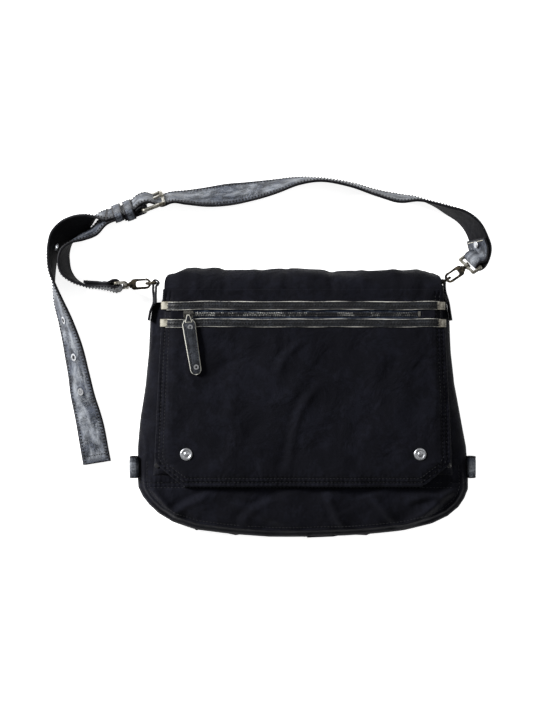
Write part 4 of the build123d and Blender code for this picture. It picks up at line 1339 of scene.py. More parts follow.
    def make_strap_tab(self, hand: Hand) -> None:
        """Leather tab sewn down the gusset at the mouth and folded round the ring's bar.

        Args:
            hand: Side of the bag.
        """
        bar_x, bar_y, bar_z = self.ring_xs[hand is Hand.RIGHT], self.ring_y, self.ring_z
        side = hand.value
        base = [(side * (self.half(np.array(v), hand) + 1.6), v) for v in (98.0, 109.0, 119.0)]
        approach = (bar_x + side * 3.4, bar_y - 8)
        turns = np.radians(np.linspace(-20, 250, 12)) if side > 0 else np.radians(np.linspace(200, -70, 12))
        eye = [(bar_x + 3.4 * np.cos(t), bar_y + 3.4 * np.sin(t)) for t in turns]
        tail = [(bar_x - side * 0.2, bar_y - 9), (side * (self.half(np.array(119.0), hand) - 0.8), 118.0)]
        line = np.array([*base, approach, *eye, *tail], float)
        ahead = unit(np.gradient(line, axis=0))
        normal = np.column_stack([ahead[:, 1], -ahead[:, 0], np.zeros(len(line))]) * side
        at = np.column_stack([line, np.full(len(line), bar_z)])
        path = Path(at, normal, np.broadcast_to(UP, at.shape)).refined(1.2)
        skin = Strip(self.tab_wide, self.tab_thick, groove=2.6).skin(path, seed=3)
        name = f"strap_tab_{hand.word}"
        piece = write_mesh(f"{name}_leather", [skin], DARK.material())
        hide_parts(name)
        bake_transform(piece)


# ---- flap ----------------------------------------------------------------------------------
@dataclass
class Flap:
    """The flap with its roll over the mouth, its zip, trim, wraps and stitching.

    Attributes:
        face: Height of the outer cloth's face.
        thick: Outer face to the inside of the facing.
        droop: How far the flap's edges hang below its middle.
        roll_y: Seam where the roll starts.
        roll_r: The roll's radius.
        roll_z: Height of its axis.
        foot_y: Lowest edge.
        zip_y: Middle of the zip.
        window: Opening between the trim strips.
        trim: Width of a strip.
        seam: Cloth hidden under each strip.
        cloth: Thickness of the panels.
        roll_cloth: Thickness of the roll.
        facing: Thickness of the facing.
        tape: Thickness of the zip's tapes.
        tape_end: Where the tapes end.
        tape_z: Their height.
        patches: Where the cloth over the tapes' ends starts and stops.
        teeth: First and last tooth.
        pitch: From one tooth to the next.
        seams: The two rows of stitches, in from the edge.
        sides: (Y, half width) pairs.
        snaps: Middles of the snaps.
        folds: Creases.
        upright: Place, width and height of each crease over the roll.
    """

    face: float = 51.0
    thick: float = 5.0
    droop: float = 5.5
    roll_y: float = 135.0
    roll_r: float = 25.3
    roll_z: float = 25.5
    foot_y: float = -100.0
    zip_y: float = 105.0
    window: float = 10.8
    trim: float = 10.0
    seam: float = 1.0
    cloth: float = 1.2
    roll_cloth: float = 1.6
    facing: float = 0.8
    tape: float = 0.5
    tape_end: float = 156.0
    tape_z: float = 49.5
    patches: tuple[float, float] = (141.5, 158.0)
    teeth: tuple[float, float] = (-142.0, 136.5)
    pitch: float = 2.1
    seams: tuple[float, float] = (3.6, 8.6)
    sides: tuple = ((-100, 141), (-98.5, 145), (-95, 149.5), (-77, 171), (-73, 174.6), (-66, 176.3),
                    (0, 173.5), (135, 166))
    snaps: tuple = ((-139.5, -62), (139.5, -62))
    folds: tuple[Crease, ...] = (
        Crease((28, 34), (-32, -92), 5.5, 1.9), Crease((2, 80), (-34, 30), 5.0, 1.5),
        Crease((-60, 60), (-96, -30), 9.0, 0.9), Crease((70, 70), (110, -20), 9.0, 0.9),
        Crease((120, 20), (60, -80), 8.0, 0.8), Crease((-150, 70), (-120, 10), 6.0, 0.9),
        Crease((150, 60), (164, -30), 5.0, 1.1), Crease((-20, -40), (60, -70), 7.0, 0.8),
    )
    upright: tuple = ((-128, 6.0, 1.1), (-94, 4.5, -1.0), (-58, 6.0, 1.2), (-20, 4.0, -0.9),
                      (34, 5.5, -1.9), (71, 5.0, 1.1), (110, 6.5, 1.3), (143, 4.0, -1.0))

    def half(self, y: np.ndarray) -> np.ndarray:
        """Half width at a height."""
        table = np.array(self.sides, float)
        return np.interp(y, table[:, 0], table[:, 1])

    def inwards(self, x: np.ndarray, y: np.ndarray) -> np.ndarray:
        """Distance in from the cut edge, along sides, corners and foot."""
        side = (self.half(y) - np.abs(x)) * np.where(y < -73, 0.72, 1.0)
        return np.minimum(side, y - self.foot_y)

    def calm(self, x: np.ndarray, y: np.ndarray) -> np.ndarray:
        """1 on loose cloth and 0 where the zip or a snap holds it flat.

        Args:
            x: Places across.
            y: Places along.

        Returns:
            Shares.
        """
        free = 1 - hill(np.maximum(np.abs(y - self.zip_y) - 16, 0), 12)
        for spot in self.snaps:
            free = free * (1 - hill(np.hypot(x - spot[0], y - spot[1]), 20))
        return free

    def uprights(self, x: np.ndarray) -> np.ndarray:
        """Creases that run over the roll and a little way down the flap."""
        return sum(high * hill(x - at, wide) for at, wide, high in self.upright)

    def height(self, x: np.ndarray, y: np.ndarray) -> np.ndarray:
        """Height of the outer face: hanging edges, folds and slow waves on loose cloth.

        Args:
            x: Places across.
            y: Places along.

        Returns:
            Heights.
        """
        deep = self.inwards(x, y)
        hang = self.droop * (1 - smooth(deep / 24)) ** 2 * smooth((146 - y) / 30)
        loose = 1.6 * ripples(x, y, 100, 12) + 0.45 * ripples(x, y, 26, 13)
        for fold in self.folds:
            loose = loose + fold.lift(x, y)
        loose = loose + self.uprights(x) * smooth((y - 108) / 24)
        press = 0.85 * sum(hill(deep - inset, 1.0) for inset in self.seams) * (y < 132)
        beat = np.sin(y * 2 * np.pi / PUCKER_STEP) + np.sin(x * 2 * np.pi / PUCKER_STEP)
        between = hill(deep - 1.5, 2.0) + hill(deep - 6.1, 2.2) + 0.5 * hill(deep - 11.5, 2.5)
        pucker = 0.42 * beat * between
        return self.face - hang + loose * self.calm(x, y) - press + pucker * (y < 130)

    def columns(self, count: int = 210) -> np.ndarray:
        """Shares across, closer together near the edges.

        Args:
            count: Number of inner columns.

        Returns:
            Shares from -1 to 1.
        """
        inner = np.linspace(-0.925, 0.925, count)
        edge = np.linspace(0.93, 1.0, 14)
        return np.concatenate([-edge[::-1], inner, edge])

    def panel(self, top: float, bottom: float, count: int, hem_foot: bool,
              folded: tuple[bool, bool]) -> Grid:
        """Outer cloth between two heights, with its side edges turned down to the facing.

        Args:
            top: Upper Y.
            bottom: Lower Y.
            count: Rows.
            hem_foot: True if the lower edge turns down as the side edges do.
            folded: Whether the upper and the lower edge fold down beside the zip.

        Returns:
            The panel's grid.
        """
        share = self.columns()
        rows = np.linspace(top, bottom, count)
        if hem_foot:
            rows = np.concatenate([rows[rows > bottom + 14], np.linspace(bottom + 14, bottom, 15)])
        y = np.repeat(rows[:, None], len(share), axis=1)
        x = share[None] * self.half(y)
        core = np.stack([x, y, self.height(x, y)], -1)
        down = [(0.9, 0.5), (1.5, 1.6), (1.6, self.thick * 0.6), (1.2, self.thick - 0.4), (0.2, self.thick)]
        left = np.stack([core[:, 0] + [-out, 0, -low] for out, low in down[::-1]], 1)
        right = np.stack([core[:, -1] + [out, 0, -low] for out, low in down], 1)
        points = np.concatenate([left, core, right], axis=1)
        if hem_foot:
            extra = np.stack([points[-1] + [0, -out, -low] for out, low in down])
            points = np.concatenate([points, extra])
        if folded[0]:
            points = np.concatenate([points[:1] + [0, -0.6, -1.3], points[:1] + [0, 0.1, -0.4], points])
        if folded[1]:
            points = np.concatenate([points, points[-1:] + [0, -0.1, -0.4], points[-1:] + [0, 0.6, -1.3]])
        return sheet_grid(points)

    def roll(self) -> Grid:
        """Cloth from the back's seam over the mouth to the flap's seam.

        Returns:
            The grid.
        """
        share = self.columns()
        turn = np.radians(np.linspace(90, -90, 44))[:, None]
        middle = np.cos(turn)
        at_seam = self.height(share * self.half(np.array(self.roll_y)), np.full(share.shape, self.roll_y))
        width = self.half(np.array(self.roll_y)) - 9.0 * middle**4
        x = share[None] * width
        wave = 2.0 * ripples(x, 0 * x, 90, 31) + 0.8 * ripples(x, turn * 25, 26, 32)
        corner = 5.0 * smooth((np.abs(share[None]) - 0.88) / 0.12) * middle
        swell = (wave + self.uprights(x)) * middle - corner
        radius = self.roll_r + swell
        top = (at_seam - self.face)[None] * smooth(np.sin(turn))
        y = self.roll_y + radius * middle
        z = self.roll_z + radius * np.sin(turn) + top
        points = np.stack([x, y, np.maximum(z, 0.5)], -1)
        points[0, :, 2] -= 0.12
        lap_y = np.array([[128.0], [131.5]]) + 0 * share
        lap_x = share[None] * self.half(lap_y)
        lap = np.stack([lap_x, lap_y, self.height(lap_x, lap_y) - 0.3], -1)
        points = np.concatenate([lap, points])
        run = run_lengths(points[:, 100])
        flat = np.stack([points[..., 0], 128.0 + run[:, None] + 0 * points[..., 0]], -1)
        return sheet_grid(points, flat)

    def make(self) -> None:
        """Builds every piece of the flap."""
        low, high = (self.zip_y + side * (self.window / 2 + self.seam) for side in (-1, 1))
        upper = self.panel(self.roll_y, high, 16, False, (False, True))
        cloth("flap_upper_cloth", [upper], CANVAS, UP, self.cloth, Body.FLAP, "canvas", "flap_upper_panel")
        lower = self.panel(low, self.foot_y, 190, True, (True, False))
        cloth("flap_lower_cloth", [lower], CANVAS, UP, self.cloth, Body.FLAP, "canvas", "flap_lower_panel")
        roll = write_mesh("flap_roll_cloth", [self.roll()], CANVAS.material(), facing=UP + ALONG)
        thicken(roll, self.roll_cloth)
        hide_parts("flap_roll")
        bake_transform(roll)
        self.make_facing()
        self.make_zip()
        for row, offset in (("upper", 1), ("lower", -1)):
            self.make_trim(row, self.zip_y + offset * (self.window + self.trim) / 2)
        self.make_snaps()
        self.make_stitching()

    def make_facing(self) -> None:
        """Inner cloth of the flap, and the bag of its zip pocket above it."""
        y = np.repeat(np.linspace(self.roll_y, self.foot_y + 1.5, 90)[:, None], 90, axis=1)
        x = np.linspace(-1, 1, 90)[None] * (self.half(y) - 0.8)
        z = self.height(x, y) - self.thick + 0.4
        points = np.stack([x, y, z], -1)
        cloth("flap_facing_cloth", [sheet_grid(points)], LINING, -UP, self.facing, Body.FLAP, "lining",
              "flap_facing")
        y = np.repeat(np.linspace(self.zip_y + 12, -60, 40)[:, None], 60, axis=1)
        x = np.linspace(-150, 150, 60)[None] + 0 * y
        points = np.stack([x, y, self.height(x, y) - 3.3], -1)
        cloth("flap_pocket_cloth", [sheet_grid(points)], LINING, UP, self.tape, Body.FLAP, "lining",
              "flap_pocket_bag")

    def make_zip(self) -> None:
        """Two tapes with their teeth in the window, and the patches over the tapes' ends."""
        for row, sign in (("upper", 1), ("lower", -1)):
            x = np.repeat(np.linspace(-self.tape_end, self.tape_end, 160)[None], 9, axis=0)
            reach = np.linspace(0.7, 9.5, 9)[:, None]
            y = self.zip_y + sign * reach + 0.25 * ripples(x, 0 * x, 30, 40 + sign)
            points = np.stack([x, y, self.tape_z + 0.12 * ripples(x, y, 9, 41)], -1)
            cloth(f"zip_tape_{row}_cloth", [sheet_grid(points)], ZIP_TAPE, UP, self.tape, Body.FLAP,
                  "zip_tape", f"zip_tape_{row}")
            self.make_teeth(row, sign)
        grids = []
        for sign in (-1, 1):
            x = sign * np.repeat(np.linspace(*self.patches, 12)[None], 8, axis=0)
            y = np.repeat(np.linspace(-5.2, 5.2, 8)[:, None], 12, axis=1) + self.zip_y
            points = np.stack([x, y, 50.35 - 0.5 * smooth((144 - np.abs(x)) / 3)], -1)
            grids.append(sheet_grid(points))
        cloth("zip_end_cloth", grids, CANVAS, UP, self.facing, Body.FLAP, "canvas", "zip_end_patches")

    def make_teeth(self, row: str, sign: int) -> None:
        """Moulded teeth in a row, half a pitch apart from those of the other row.

        Args:
            row: Name of the row.
            sign: 1 above the zip, -1 below.
        """
        centres = np.arange(*self.teeth, self.pitch) + (self.pitch / 2 if sign > 0 else 0)
        shape = np.array([[-0.6, 0.15], [0.6, 0.15], [0.72, 1.2], [0.5, 2.5], [-0.5, 2.5], [-0.72, 1.2]])
        grids = []
        for middle in centres:
            x = middle + shape[:, 0]
            y = self.zip_y + sign * shape[:, 1]
            rings = [np.stack([(x - middle) * s + middle, (y - y.mean()) * s + y.mean(), 0 * x + z], -1)
                     for s, z in ((0.02, 48.6), (1, 48.6), (1, 50.2), (0.75, 50.5), (0.02, 50.55))]
            points = np.stack(rings)
            grids.append(ringed_grid(points))
        piece = write_mesh(f"zip_teeth_{row}_row", grids, TEETH.material())
        place(piece, Body.FLAP, "zip_metal", f"zip_teeth_{row}")

    def make_trim(self, row: str, middle: float) -> None:
        """Leather strip beside the zip, with a cream wrap over each end.

        Args:
            row: Name of the row.
            middle: Middle of the strip along the bag.
        """
        edge = float(self.half(np.array(middle)))
        x = np.linspace(-edge + 4, edge - 4, 150)
        y = middle + 0.35 * ripples(x, 0 * x, 80, 50)
        z = self.height(x, np.full(x.shape, middle)) + 0.75
        at = np.stack([x, y, z], -1)
        ahead = unit(np.gradient(at, axis=0))
        across = np.broadcast_to(ALONG, at.shape)
        path = Path(at, unit(np.cross(ahead, across)), across)
        piece = write_mesh(f"trim_{row}_leather", [Strip(self.trim, 1.5, groove=2.6).skin(path, seed=8)],
                           TRIM.material())
        place(piece, Body.FLAP, "worn_leather", f"trim_strip_{row}")
        whip = Stitching(step=3.4, long=2.6, thick=0.9, slant=50)
        rows = [Path(path.at + path.normal * 0.75, path.normal, path.across)]
        stitches(f"trim_{row}_whip", rows, whip, BLACK_THREAD, Body.FLAP)
        edges = [path.shifted(0.72, side * 3.0) for side in (-1, 1)]
        stitches(f"trim_{row}_stitches", edges, Stitching(3.6, 2.7, 0.6), BLACK_THREAD, Body.FLAP)
        for hand in Hand:
            self.make_wrap(row, middle, hand)

    def make_wrap(self, row: str, middle: float, hand: Hand) -> None:
        """Cream leather folded round the flap's edge over the end of a strip.

        Args:
            row: Name of the row.
            middle: Middle of the strip along the bag.
            hand: Side of the bag.
        """
        edge = float(self.half(np.array(middle))) + 1.2
        top = float(self.height(np.array(edge - 5), np.array(middle))) + 2.0
        foot = top - self.thick - 4.2
        line = [(edge - 10.5, top + 0.1), (edge - 5, top + 0.1), (edge - 1.5, top - 0.5),
                (edge + 0.8, top - 2.2), (edge + 1.3, (top + foot) / 2), (edge + 0.6, foot + 1.4),
                (edge - 2, foot), (edge - 9.5, foot)]
        line = np.array(line, float)
        at = np.column_stack([hand.value * line[:, 0], np.full(len(line), middle), line[:, 1]])
        ahead = unit(np.gradient(at, axis=0))
        across = np.broadcast_to(ALONG, at.shape)
        normal = unit(np.cross(across, ahead)) * -hand.value
        path = Path(at, normal, across).refined(0.8)
        name = f"trim_tab_{row}_{hand.word}"
        skin = Strip(9.4, 1.2).skin(path, seed=hand.value + 4)
        piece = write_mesh(f"{name}_leather", [skin], CREAM.material())
        place(piece, Body.FLAP, "cream_leather", name)

    def make_snaps(self) -> None:
        """Caps of the snaps: a raised ring round a dished middle with a dot."""
        profile = np.array([(7.5, 50.6), (7.5, 51.6), (7.1, 52.3), (6.2, 52.8), (5.3, 52.7),
                            (4.7, 52.1), (4.0, 51.9), (2.6, 51.95), (2.2, 52.4), (1.7, 52.75),
                            (0.9, 52.85), (0.01, 52.85)])
        turn = np.radians(np.arange(0, 360, 7.5))[None]
        grids = []
        for x, y in self.snaps:
            radius, level = profile[:, :1], profile[:, 1:]
            points = np.stack([x + radius * np.cos(turn), y + radius * np.sin(turn), level + 0 * turn], -1)
            grids.append(ringed_grid(points))
        piece = write_mesh("snap_cap_faces", grids, SNAP_METAL.material())
        place(piece, Body.FLAP, "snap_metal", "snap_caps")

    def make_stitching(self) -> None:
        """Double row inside the flap's sides, cut corners and foot, and rows by the trim."""
        rows = []
        for inset in self.seams:
            right = [(self.half(np.array(v)) - inset, v) for v in (128.0, 60.0, 0.0, -66.0)]
            right += [(171 - inset * 1.1, -77 + inset * 0.25), (149.5 - inset * 0.7, -95 + inset * 0.8)]
            right += [(142 - inset * 0.5, self.foot_y + inset)]
            corners = np.array(right + [(-x, y) for x, y in right[::-1]], float)
            run = run_lengths(corners)
            spots = np.linspace(0, run[-1], 320)
            x, y = (np.interp(spots, run, corners[:, k]) for k in (0, 1))
            at = np.stack([x, y, self.height(x, y) + 0.15], -1)
            ahead = unit(np.gradient(at, axis=0))
            normals = np.broadcast_to(UP, at.shape)
            rows.append(Path(at, normals, unit(np.cross(normals, ahead))))
        stitches("flap_stitches", rows, Stitching(), CANVAS_THREAD, Body.FLAP)


@dataclass
class ZipPull:
    """Leather puller with a cream edge, hanging from the slider's bail by a cream loop.

    Attributes:
        bail: Middle of the slider's bail.
        neck: From the bail to the puller.
        long: Length.
        top_wide: Width at the top.
        foot_wide: Width at the foot.
        thick: Thickness.
        tilt: Turn of the foot to the right, in degrees.
        hole: Radius cut for an eyelet.
        stitch_in: Rows of stitches in from the edges.
    """

    bail: tuple = (-137.0, 105.0)
    neck: float = 7.0
    long: float = 66.0
    top_wide: float = 16.0
    foot_wide: float = 13.0
    thick: float = 2.6
    tilt: float = 8.6
    hole: float = 2.0
    stitch_in: float = 3.0

    def make(self) -> None:
        """Builds the puller's leather, its loop and its stitches."""
        low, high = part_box("zip_pull")
        level = (low[2] + high[2]) / 2 / MM
        way = np.array([np.sin(np.radians(self.tilt)), -np.cos(np.radians(self.tilt)), 0.0])
        side = np.array([-way[1], way[0], 0.0])
        start = np.array([self.bail[0], self.bail[1] - self.neck, level])
        share = np.sin(np.linspace(0, 1, 80) * np.pi / 2)
        at = start + way * (share[:, None] * self.long)
        at[:, 2] += 0.3 * np.sin(share * 5)
        frames = [np.broadcast_to(v, at.shape) for v in (UP, side)]
        path = Path(at, frames[0], frames[1])
        wide = self.top_wide + (self.foot_wide - self.top_wide) * share
        round_foot = np.clip((share * self.long - (self.long - wide / 2)) / (wide / 2), 0, 1)
        wide = wide * (1 - 0.30 * (1 - smooth(share / 0.07))) * np.sqrt(1.02 - round_foot**2)
        skin = Strip(wide, self.thick, groove=3.0, bow=0.2).skin(path, seed=2)
        piece = write_mesh("zip_pull_leather", [skin], PULL.material())
        punch(piece, [(middle, UP) for middle in eyelet_middles("zip_pull_eyelets")],
              self.hole)
        place(piece, Body.PULLER, "worn_leather", "zip_pull")
        apex = np.array([self.bail[0], self.bail[1] - 0.6, level])
        loop = start + way * 3.0
        cord = line_path([apex + [0, 0, 1.9], (apex + loop) / 2 + [0, 0, 1.6], loop + [0, 0, 1.5]], UP, 1.0)
        count = len(cord.at)
        piece = write_mesh("zip_pull_loop", [Strip(np.linspace(3.2, 9.0, count), 1.3).skin(cord)],
                           PULL.material())
        place(piece, Body.PULLER, "worn_leather")
        rows = []
        for hand in (-1, 1):
            keep = slice(5, -13)
            aside = (hand * (wide / 2 - self.stitch_in))[:, None]
            edge = path.at + path.across * aside + UP * (self.thick / 2)
            rows.append(Path(edge[keep], path.normal[keep], path.across[keep]))
        stitches("zip_pull_stitches", rows, Stitching(3.2, 2.4, 0.7), BLACK_THREAD, Body.PULLER)


# ---- shoulder strap ------------------------------------------------------------------------
@dataclass(frozen=True)
class Spot:
    """A place on the strap's route.

    Attributes:
        x: Across.
        y: Along.
        lean: 0 where the strap stands on its edge, 90 where it lies flat with its leather up.
        z: Height of its middle, or None where it rests on the ground.
        shift: How far this ply lies out of the route.
        aim: Heading in degrees, or None to follow the neighbours.
    """

    x: float
    y: float
    lean: float
    z: float | None = None
    shift: float = 0.0
    aim: float | None = None


@dataclass
class Route:
    """The strap's route as spots, turned into a path.

    Attributes:
        spots: The spots in order.
        outer: 1 if the leather faces to the right of the way the route runs, -1 to the left.
    """

    spots: list[Spot]
    outer: int
    wide: float = 38.0
    thick: float = 3.2

    def level(self, lean: float) -> float:
        """Height of the middle where the strap rests on the ground."""
        turn = np.radians(lean)
        return self.wide / 2 * np.cos(turn) + self.thick / 2 * abs(np.sin(turn)) + 0.3

    def path(self) -> Path:
        """Middle of the strap at each spot, with its face and width directions.

        Returns:
            The path.
        """
        middles = [(s.x, s.y, self.level(s.lean) if s.z is None else s.z) for s in self.spots]
        at = np.array(middles, float)
        last = len(at) - 1
        turns = []
        for i, spot in enumerate(self.spots):
            run = at[min(i + 1, last)] - at[max(i - 1, 0)]
            aim = np.arctan2(run[1], run[0]) if spot.aim is None else np.radians(spot.aim)
            turns.append((np.cos(aim), np.sin(aim)))
        heading = np.array(turns)
        lean = np.radians([s.lean for s in self.spots])[:, None]
        out = np.column_stack([heading[:, 1], -heading[:, 0], 0 * heading[:, 0]]) * self.outer
        normal = out * np.cos(lean) + UP * np.sin(lean)
        upper = UP * np.cos(lean) - out * np.sin(lean)
        shift = np.array([s.shift for s in self.spots])[:, None]
        return Path(at + normal * shift, normal, upper)


@dataclass
class Strap:
    """Two-ply shoulder strap in three lengths, with its buckle's keepers and folded ends.

    Attributes:
        leather: Thickness of the outer ply.
        backing: Thickness of the inner ply.
        wide: Width.
        step: From one ply's middle to the next where two lie together.
        ring_y: Bar of the rings.
        ring_z: Its height.
        eye_reach: From a ring's bar to the outer bar of its eye.
        eye_open: From that bar's middle to the strap round it.
        left_eye: X of the ring's bar, heading and lean of the left eye.
        right_eye: The same on the right.
        stitch_in: Rows of stitches in from the edges.
        keeper_wide: Width of the keepers.
        keeper_thick: Thickness of their leather.
        keeper_clear: Room between them and the strap.
        buckle: Middle of the buckle's heel bar.
        buckle_aim: The buckle's heading.
        buckle_lean: Its lean.
        heel: From the heel bar's middle to the strap round it.
        exit: From the heel bar back to where the tail starts.
        fold_back: Length of the end that is folded round the heel bar.
        hole: Radius cut for an eyelet.
        long_route: (X, Y, lean) of the long length.
        short_route: The same for the short one.
        tail_route: The same for the free tail.
    """

    leather: float = 2.2
    backing: float = 1.0
    wide: float = 38.0
    step: float = 3.7
    ring_y: float = 143.5
    ring_z: float = 24.0
    eye_reach: float = 47.2
    eye_open: float = 4.2
    left_eye: tuple[float, float, float] = (-177.5, 184.0, 6.0)
    right_eye: tuple[float, float, float] = (168.0, 34.0, -29.0)
    stitch_in: float = 3.6
    keeper_wide: float = 11.0
    keeper_thick: float = 1.5
    keeper_clear: float = 2.0
    buckle: tuple = (-194.0, 237.5)
    buckle_aim: float = 21.0
    buckle_lean: float = 24.0
    heel: float = 3.8
    exit: float = 46.0
    fold_back: float = 25.0
    hole: float = 3.2
    long_route: tuple = (
        (215.5, 184, -29), (213.5, 197, -28), (206, 212, -25), (193, 224, -17), (176, 232, -7),
        (160, 239, 2), (140, 245, 9), (118, 246, 18), (92, 252, 14), (56, 263, 10), (20, 268.5, 9),
        (-6, 267, 17), (-32, 261, 29), (-62, 255, 40), (-92, 251, 47), (-118, 248, 40), (-140, 247.5, 30))
    short_route: tuple = (
        (-248, 139.5, 2), (-264, 141, 0), (-277, 147, -5), (-286.5, 157, -13), (-289.5, 170, -14),
        (-287.5, 183, -8), (-280, 193, 6), (-268, 199.5, 17), (-254, 205.5, 21))
    tail_route: tuple = (
        (-250, 224.5, 8), (-260, 220, -16), (-273, 214, -34), (-286, 207, -38), (-295, 199, -30),
        (-300, 188, -20), (-303, 176, -11), (-303.5, 158, -3), (-301, 142, 8), (-296, 122, 20),
        (-288, 99, 29), (-276, 54, 43), (-272, 34, 46), (-268, 12, 52), (-257.5, -33, 64), (-250, -75, 68))

    @property
    def thick(self) -> float:
        """Both layers together."""
        return self.leather + self.backing

    @property
    def buckle_z(self) -> float:
        """Height of the buckle's heel bar."""
        turn = np.radians(self.buckle_lean)
        return 24.5 * np.cos(turn) + 2.0 * np.sin(turn) + 0.4

    def at_buckle(self, back: float, shift: float, aim: float) -> Spot:
        """A spot at a distance along the buckle from its heel bar.

        Args:
            back: Distance beyond the heel bar.
            shift: How far the ply lies out of the route.
            aim: Heading in degrees.

        Returns:
            The spot.
        """
        turn = np.radians(self.buckle_aim)
        x, y = self.buckle[0] + back * np.cos(turn), self.buckle[1] + back * np.sin(turn)
        return Spot(x, y, self.buckle_lean, self.buckle_z, shift, aim)

    def at_eye(self, hand: Hand, beyond: float, shift: float) -> Spot:
        """A spot at a distance beyond an eye's outer bar.

        Args:
            hand: Side of the bag.
            beyond: Distance beyond the eye's bar.
            shift: How far the ply lies out of the route.

        Returns:
            The spot.
        """
        ring, aim, lean = self.left_eye if hand is Hand.LEFT else self.right_eye
        turn, reach = np.radians(aim), self.eye_reach + beyond
        return Spot(ring + reach * np.cos(turn), self.ring_y + reach * np.sin(turn), lean, self.ring_z,
                    shift, aim)

    def from_eye(self, hand: Hand, near: float, closed: float) -> list[Spot]:
        """Spots of one ply from the eye's bar to where the two plies close up."""
        return [self.at_eye(hand, 0, near), self.at_eye(hand, 3, near), self.at_eye(hand, 9, closed)]

    def two_plies(self, name: str, path: Path, body: Body, seed: int, nodes: tuple[str, str],
                  blend: tuple | None = None, holes: tuple | list = ()) -> Path:
        """Leather with its backing along a path.

        Args:
            name: Start of the pieces' names.
            path: Middle of both layers.
            body: Body that they ride on.
            seed: Changes their wear.
            nodes: CAD nodes of the leather and of the backing.
            blend: Start and end of the bend from the strap's body, or None.
            holes: Middle of each hole through both layers.

        Returns:
            The refined path.
        """
        fine = path.refined(2.0)
        cuts = [(at, fine.normal[np.argmin(np.linalg.norm(fine.at - at, axis=1))]) for at in holes]
        low = -self.thick / 2
        layers = (
            ("leather", Strip(self.wide, self.leather, groove=3.4, bow=0.25),
             low + self.backing + self.leather / 2, WORN, "worn_leather", nodes[0]),
            ("backing", Strip(self.wide - 0.8, self.backing),
             low + self.backing / 2, WEBBING, "webbing", nodes[1]),
        )
        for word, strip, out, finish, slot, node in layers:
            skin = strip.skin(fine.shifted(out), seed)
            piece = write_mesh(f"{name}_{word}_strip", [skin], finish.material())
            if cuts:
                punch(piece, cuts, self.hole)
            self.attach(piece, body, blend)
            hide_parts(node)
        self.edge_stitches(name, fine, body, blend)
        return fine

    @staticmethod
    def attach(piece: Piece, body: Body, blend: tuple | None) -> None:
        """Rides a piece on its body, or, when a bend is given, bakes its transform and leaves it in place.

        Args:
            piece: The piece.
            body: Body to ride on.
            blend: Start and end of the bend, or None.
        """
        if blend is None:
            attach(piece, body.value)
        else:
            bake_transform(piece)

    def edge_stitches(self, name: str, fine: Path, body: Body, blend: tuple | None) -> None:
        """A row of stitches in each groove of the leather.

        Args:
            name: Start of the piece's name.
            fine: The strap's path.
            body: Body to ride on.
            blend: Start and end of the bend, or None.
        """
        aside = self.wide / 2 - self.stitch_in
        rows = [fine.shifted(self.thick / 2 + 0.1, side * aside) for side in (-1, 1)]
        kind = Stitching(3.9, 3.3, 1.6, 78)
        grids = [bead for row in rows for bead in kind.beads(row)]
        piece = write_mesh(f"{name}_stitches", grids, BLACK_THREAD.material())
        self.attach(piece, body, blend)

    def make(self) -> None:
        """Builds the strap."""
        self.make_long()
        self.make_short()
        self.make_tail()
        self.make_keepers()

    def make_long(self) -> None:
        """From the right eye to the keepers, through the buckle."""
        half = self.step / 2
        start = self.from_eye(Hand.RIGHT, self.eye_open, half)
        route = [Spot(*spot) for spot in self.long_route]
        route[0] = Spot(*self.long_route[0], shift=half)
        aim = self.buckle_aim + 180
        runs = ((34, -3.9), (22.5, -3.9), (7, 7.5), (-2, 7.5), (-11.3, self.step),
                (-self.exit + 5, self.step))
        buckle = [self.at_buckle(back, shift, aim) for back, shift in runs]
        buckle.append(self.at_buckle(-self.exit, self.step + 1.2, 180))
        path = Route(start + route + buckle, 1).path()
        self.two_plies("long_strap", path, Body.STRAP, 1, ("long_strap_leather", "long_strap_backing"))
        inner = self.from_eye(Hand.RIGHT, -self.eye_open, -half)
        inner += [Spot(*self.long_route[0], shift=-half), Spot(*self.long_route[1], shift=-self.step)]
        inner_path = Route(inner, 1).path()
        self.folded_end("long_strap_end", self.eye_bend(Hand.RIGHT, 1), inner_path)

    def make_short(self) -> None:
        """From the left eye round to the buckle's heel bar."""
        half = self.step / 2
        start = self.from_eye(Hand.LEFT, self.eye_open, half)
        route = [Spot(*spot) for spot in self.short_route]
        runs = ((-self.exit - 1, 0.0), (-12, 0.0), (-3, self.heel), (0, self.heel))
        end = [self.at_buckle(back, shift, self.buckle_aim) for back, shift in runs]
        path = Route(start + route + end, -1).path()
        self.two_plies("short_strap", path, Body.STRAP, 4, ("short_strap_leather", "short_strap_backing"))
        inner = self.from_eye(Hand.LEFT, -self.eye_open, -half)
        inner += [Spot(*spot, shift=-self.step) for spot in self.short_route[:2]]
        self.folded_end("short_strap_eye_end", self.eye_bend(Hand.LEFT, -1), Route(inner, -1).path())
        runs = ((0, -self.heel), (-3, -self.heel), (-self.fold_back, -self.step))
        back = [self.at_buckle(beyond, shift, self.buckle_aim) for beyond, shift in runs]
        self.folded_end("short_strap_buckle_end", self.heel_bend(), Route(back, -1).path())

    def eye_bend(self, hand: Hand, outer: int) -> Path:
        """Half turn round an eye's bar, from the outer ply to the inner one.

        Args:
            hand: Side of the bag.
            outer: Side that the leather faces, as in a route.

        Returns:
            Path of the bend.
        """
        middle = Route([self.at_eye(hand, 0, 0)], outer).path()
        turn = np.radians((self.left_eye if hand is Hand.LEFT else self.right_eye)[1])
        return self.half_turn(middle, np.array([-np.cos(turn), -np.sin(turn), 0.0]), self.eye_open)

    def heel_bend(self) -> Path:
        """Half turn round the buckle's heel bar.

        Returns:
            Path of the bend.
        """
        middle = Route([self.at_buckle(0, 0, self.buckle_aim)], -1).path()
        turn = np.radians(self.buckle_aim)
        return self.half_turn(middle, np.array([np.cos(turn), np.sin(turn), 0.0]), self.heel)

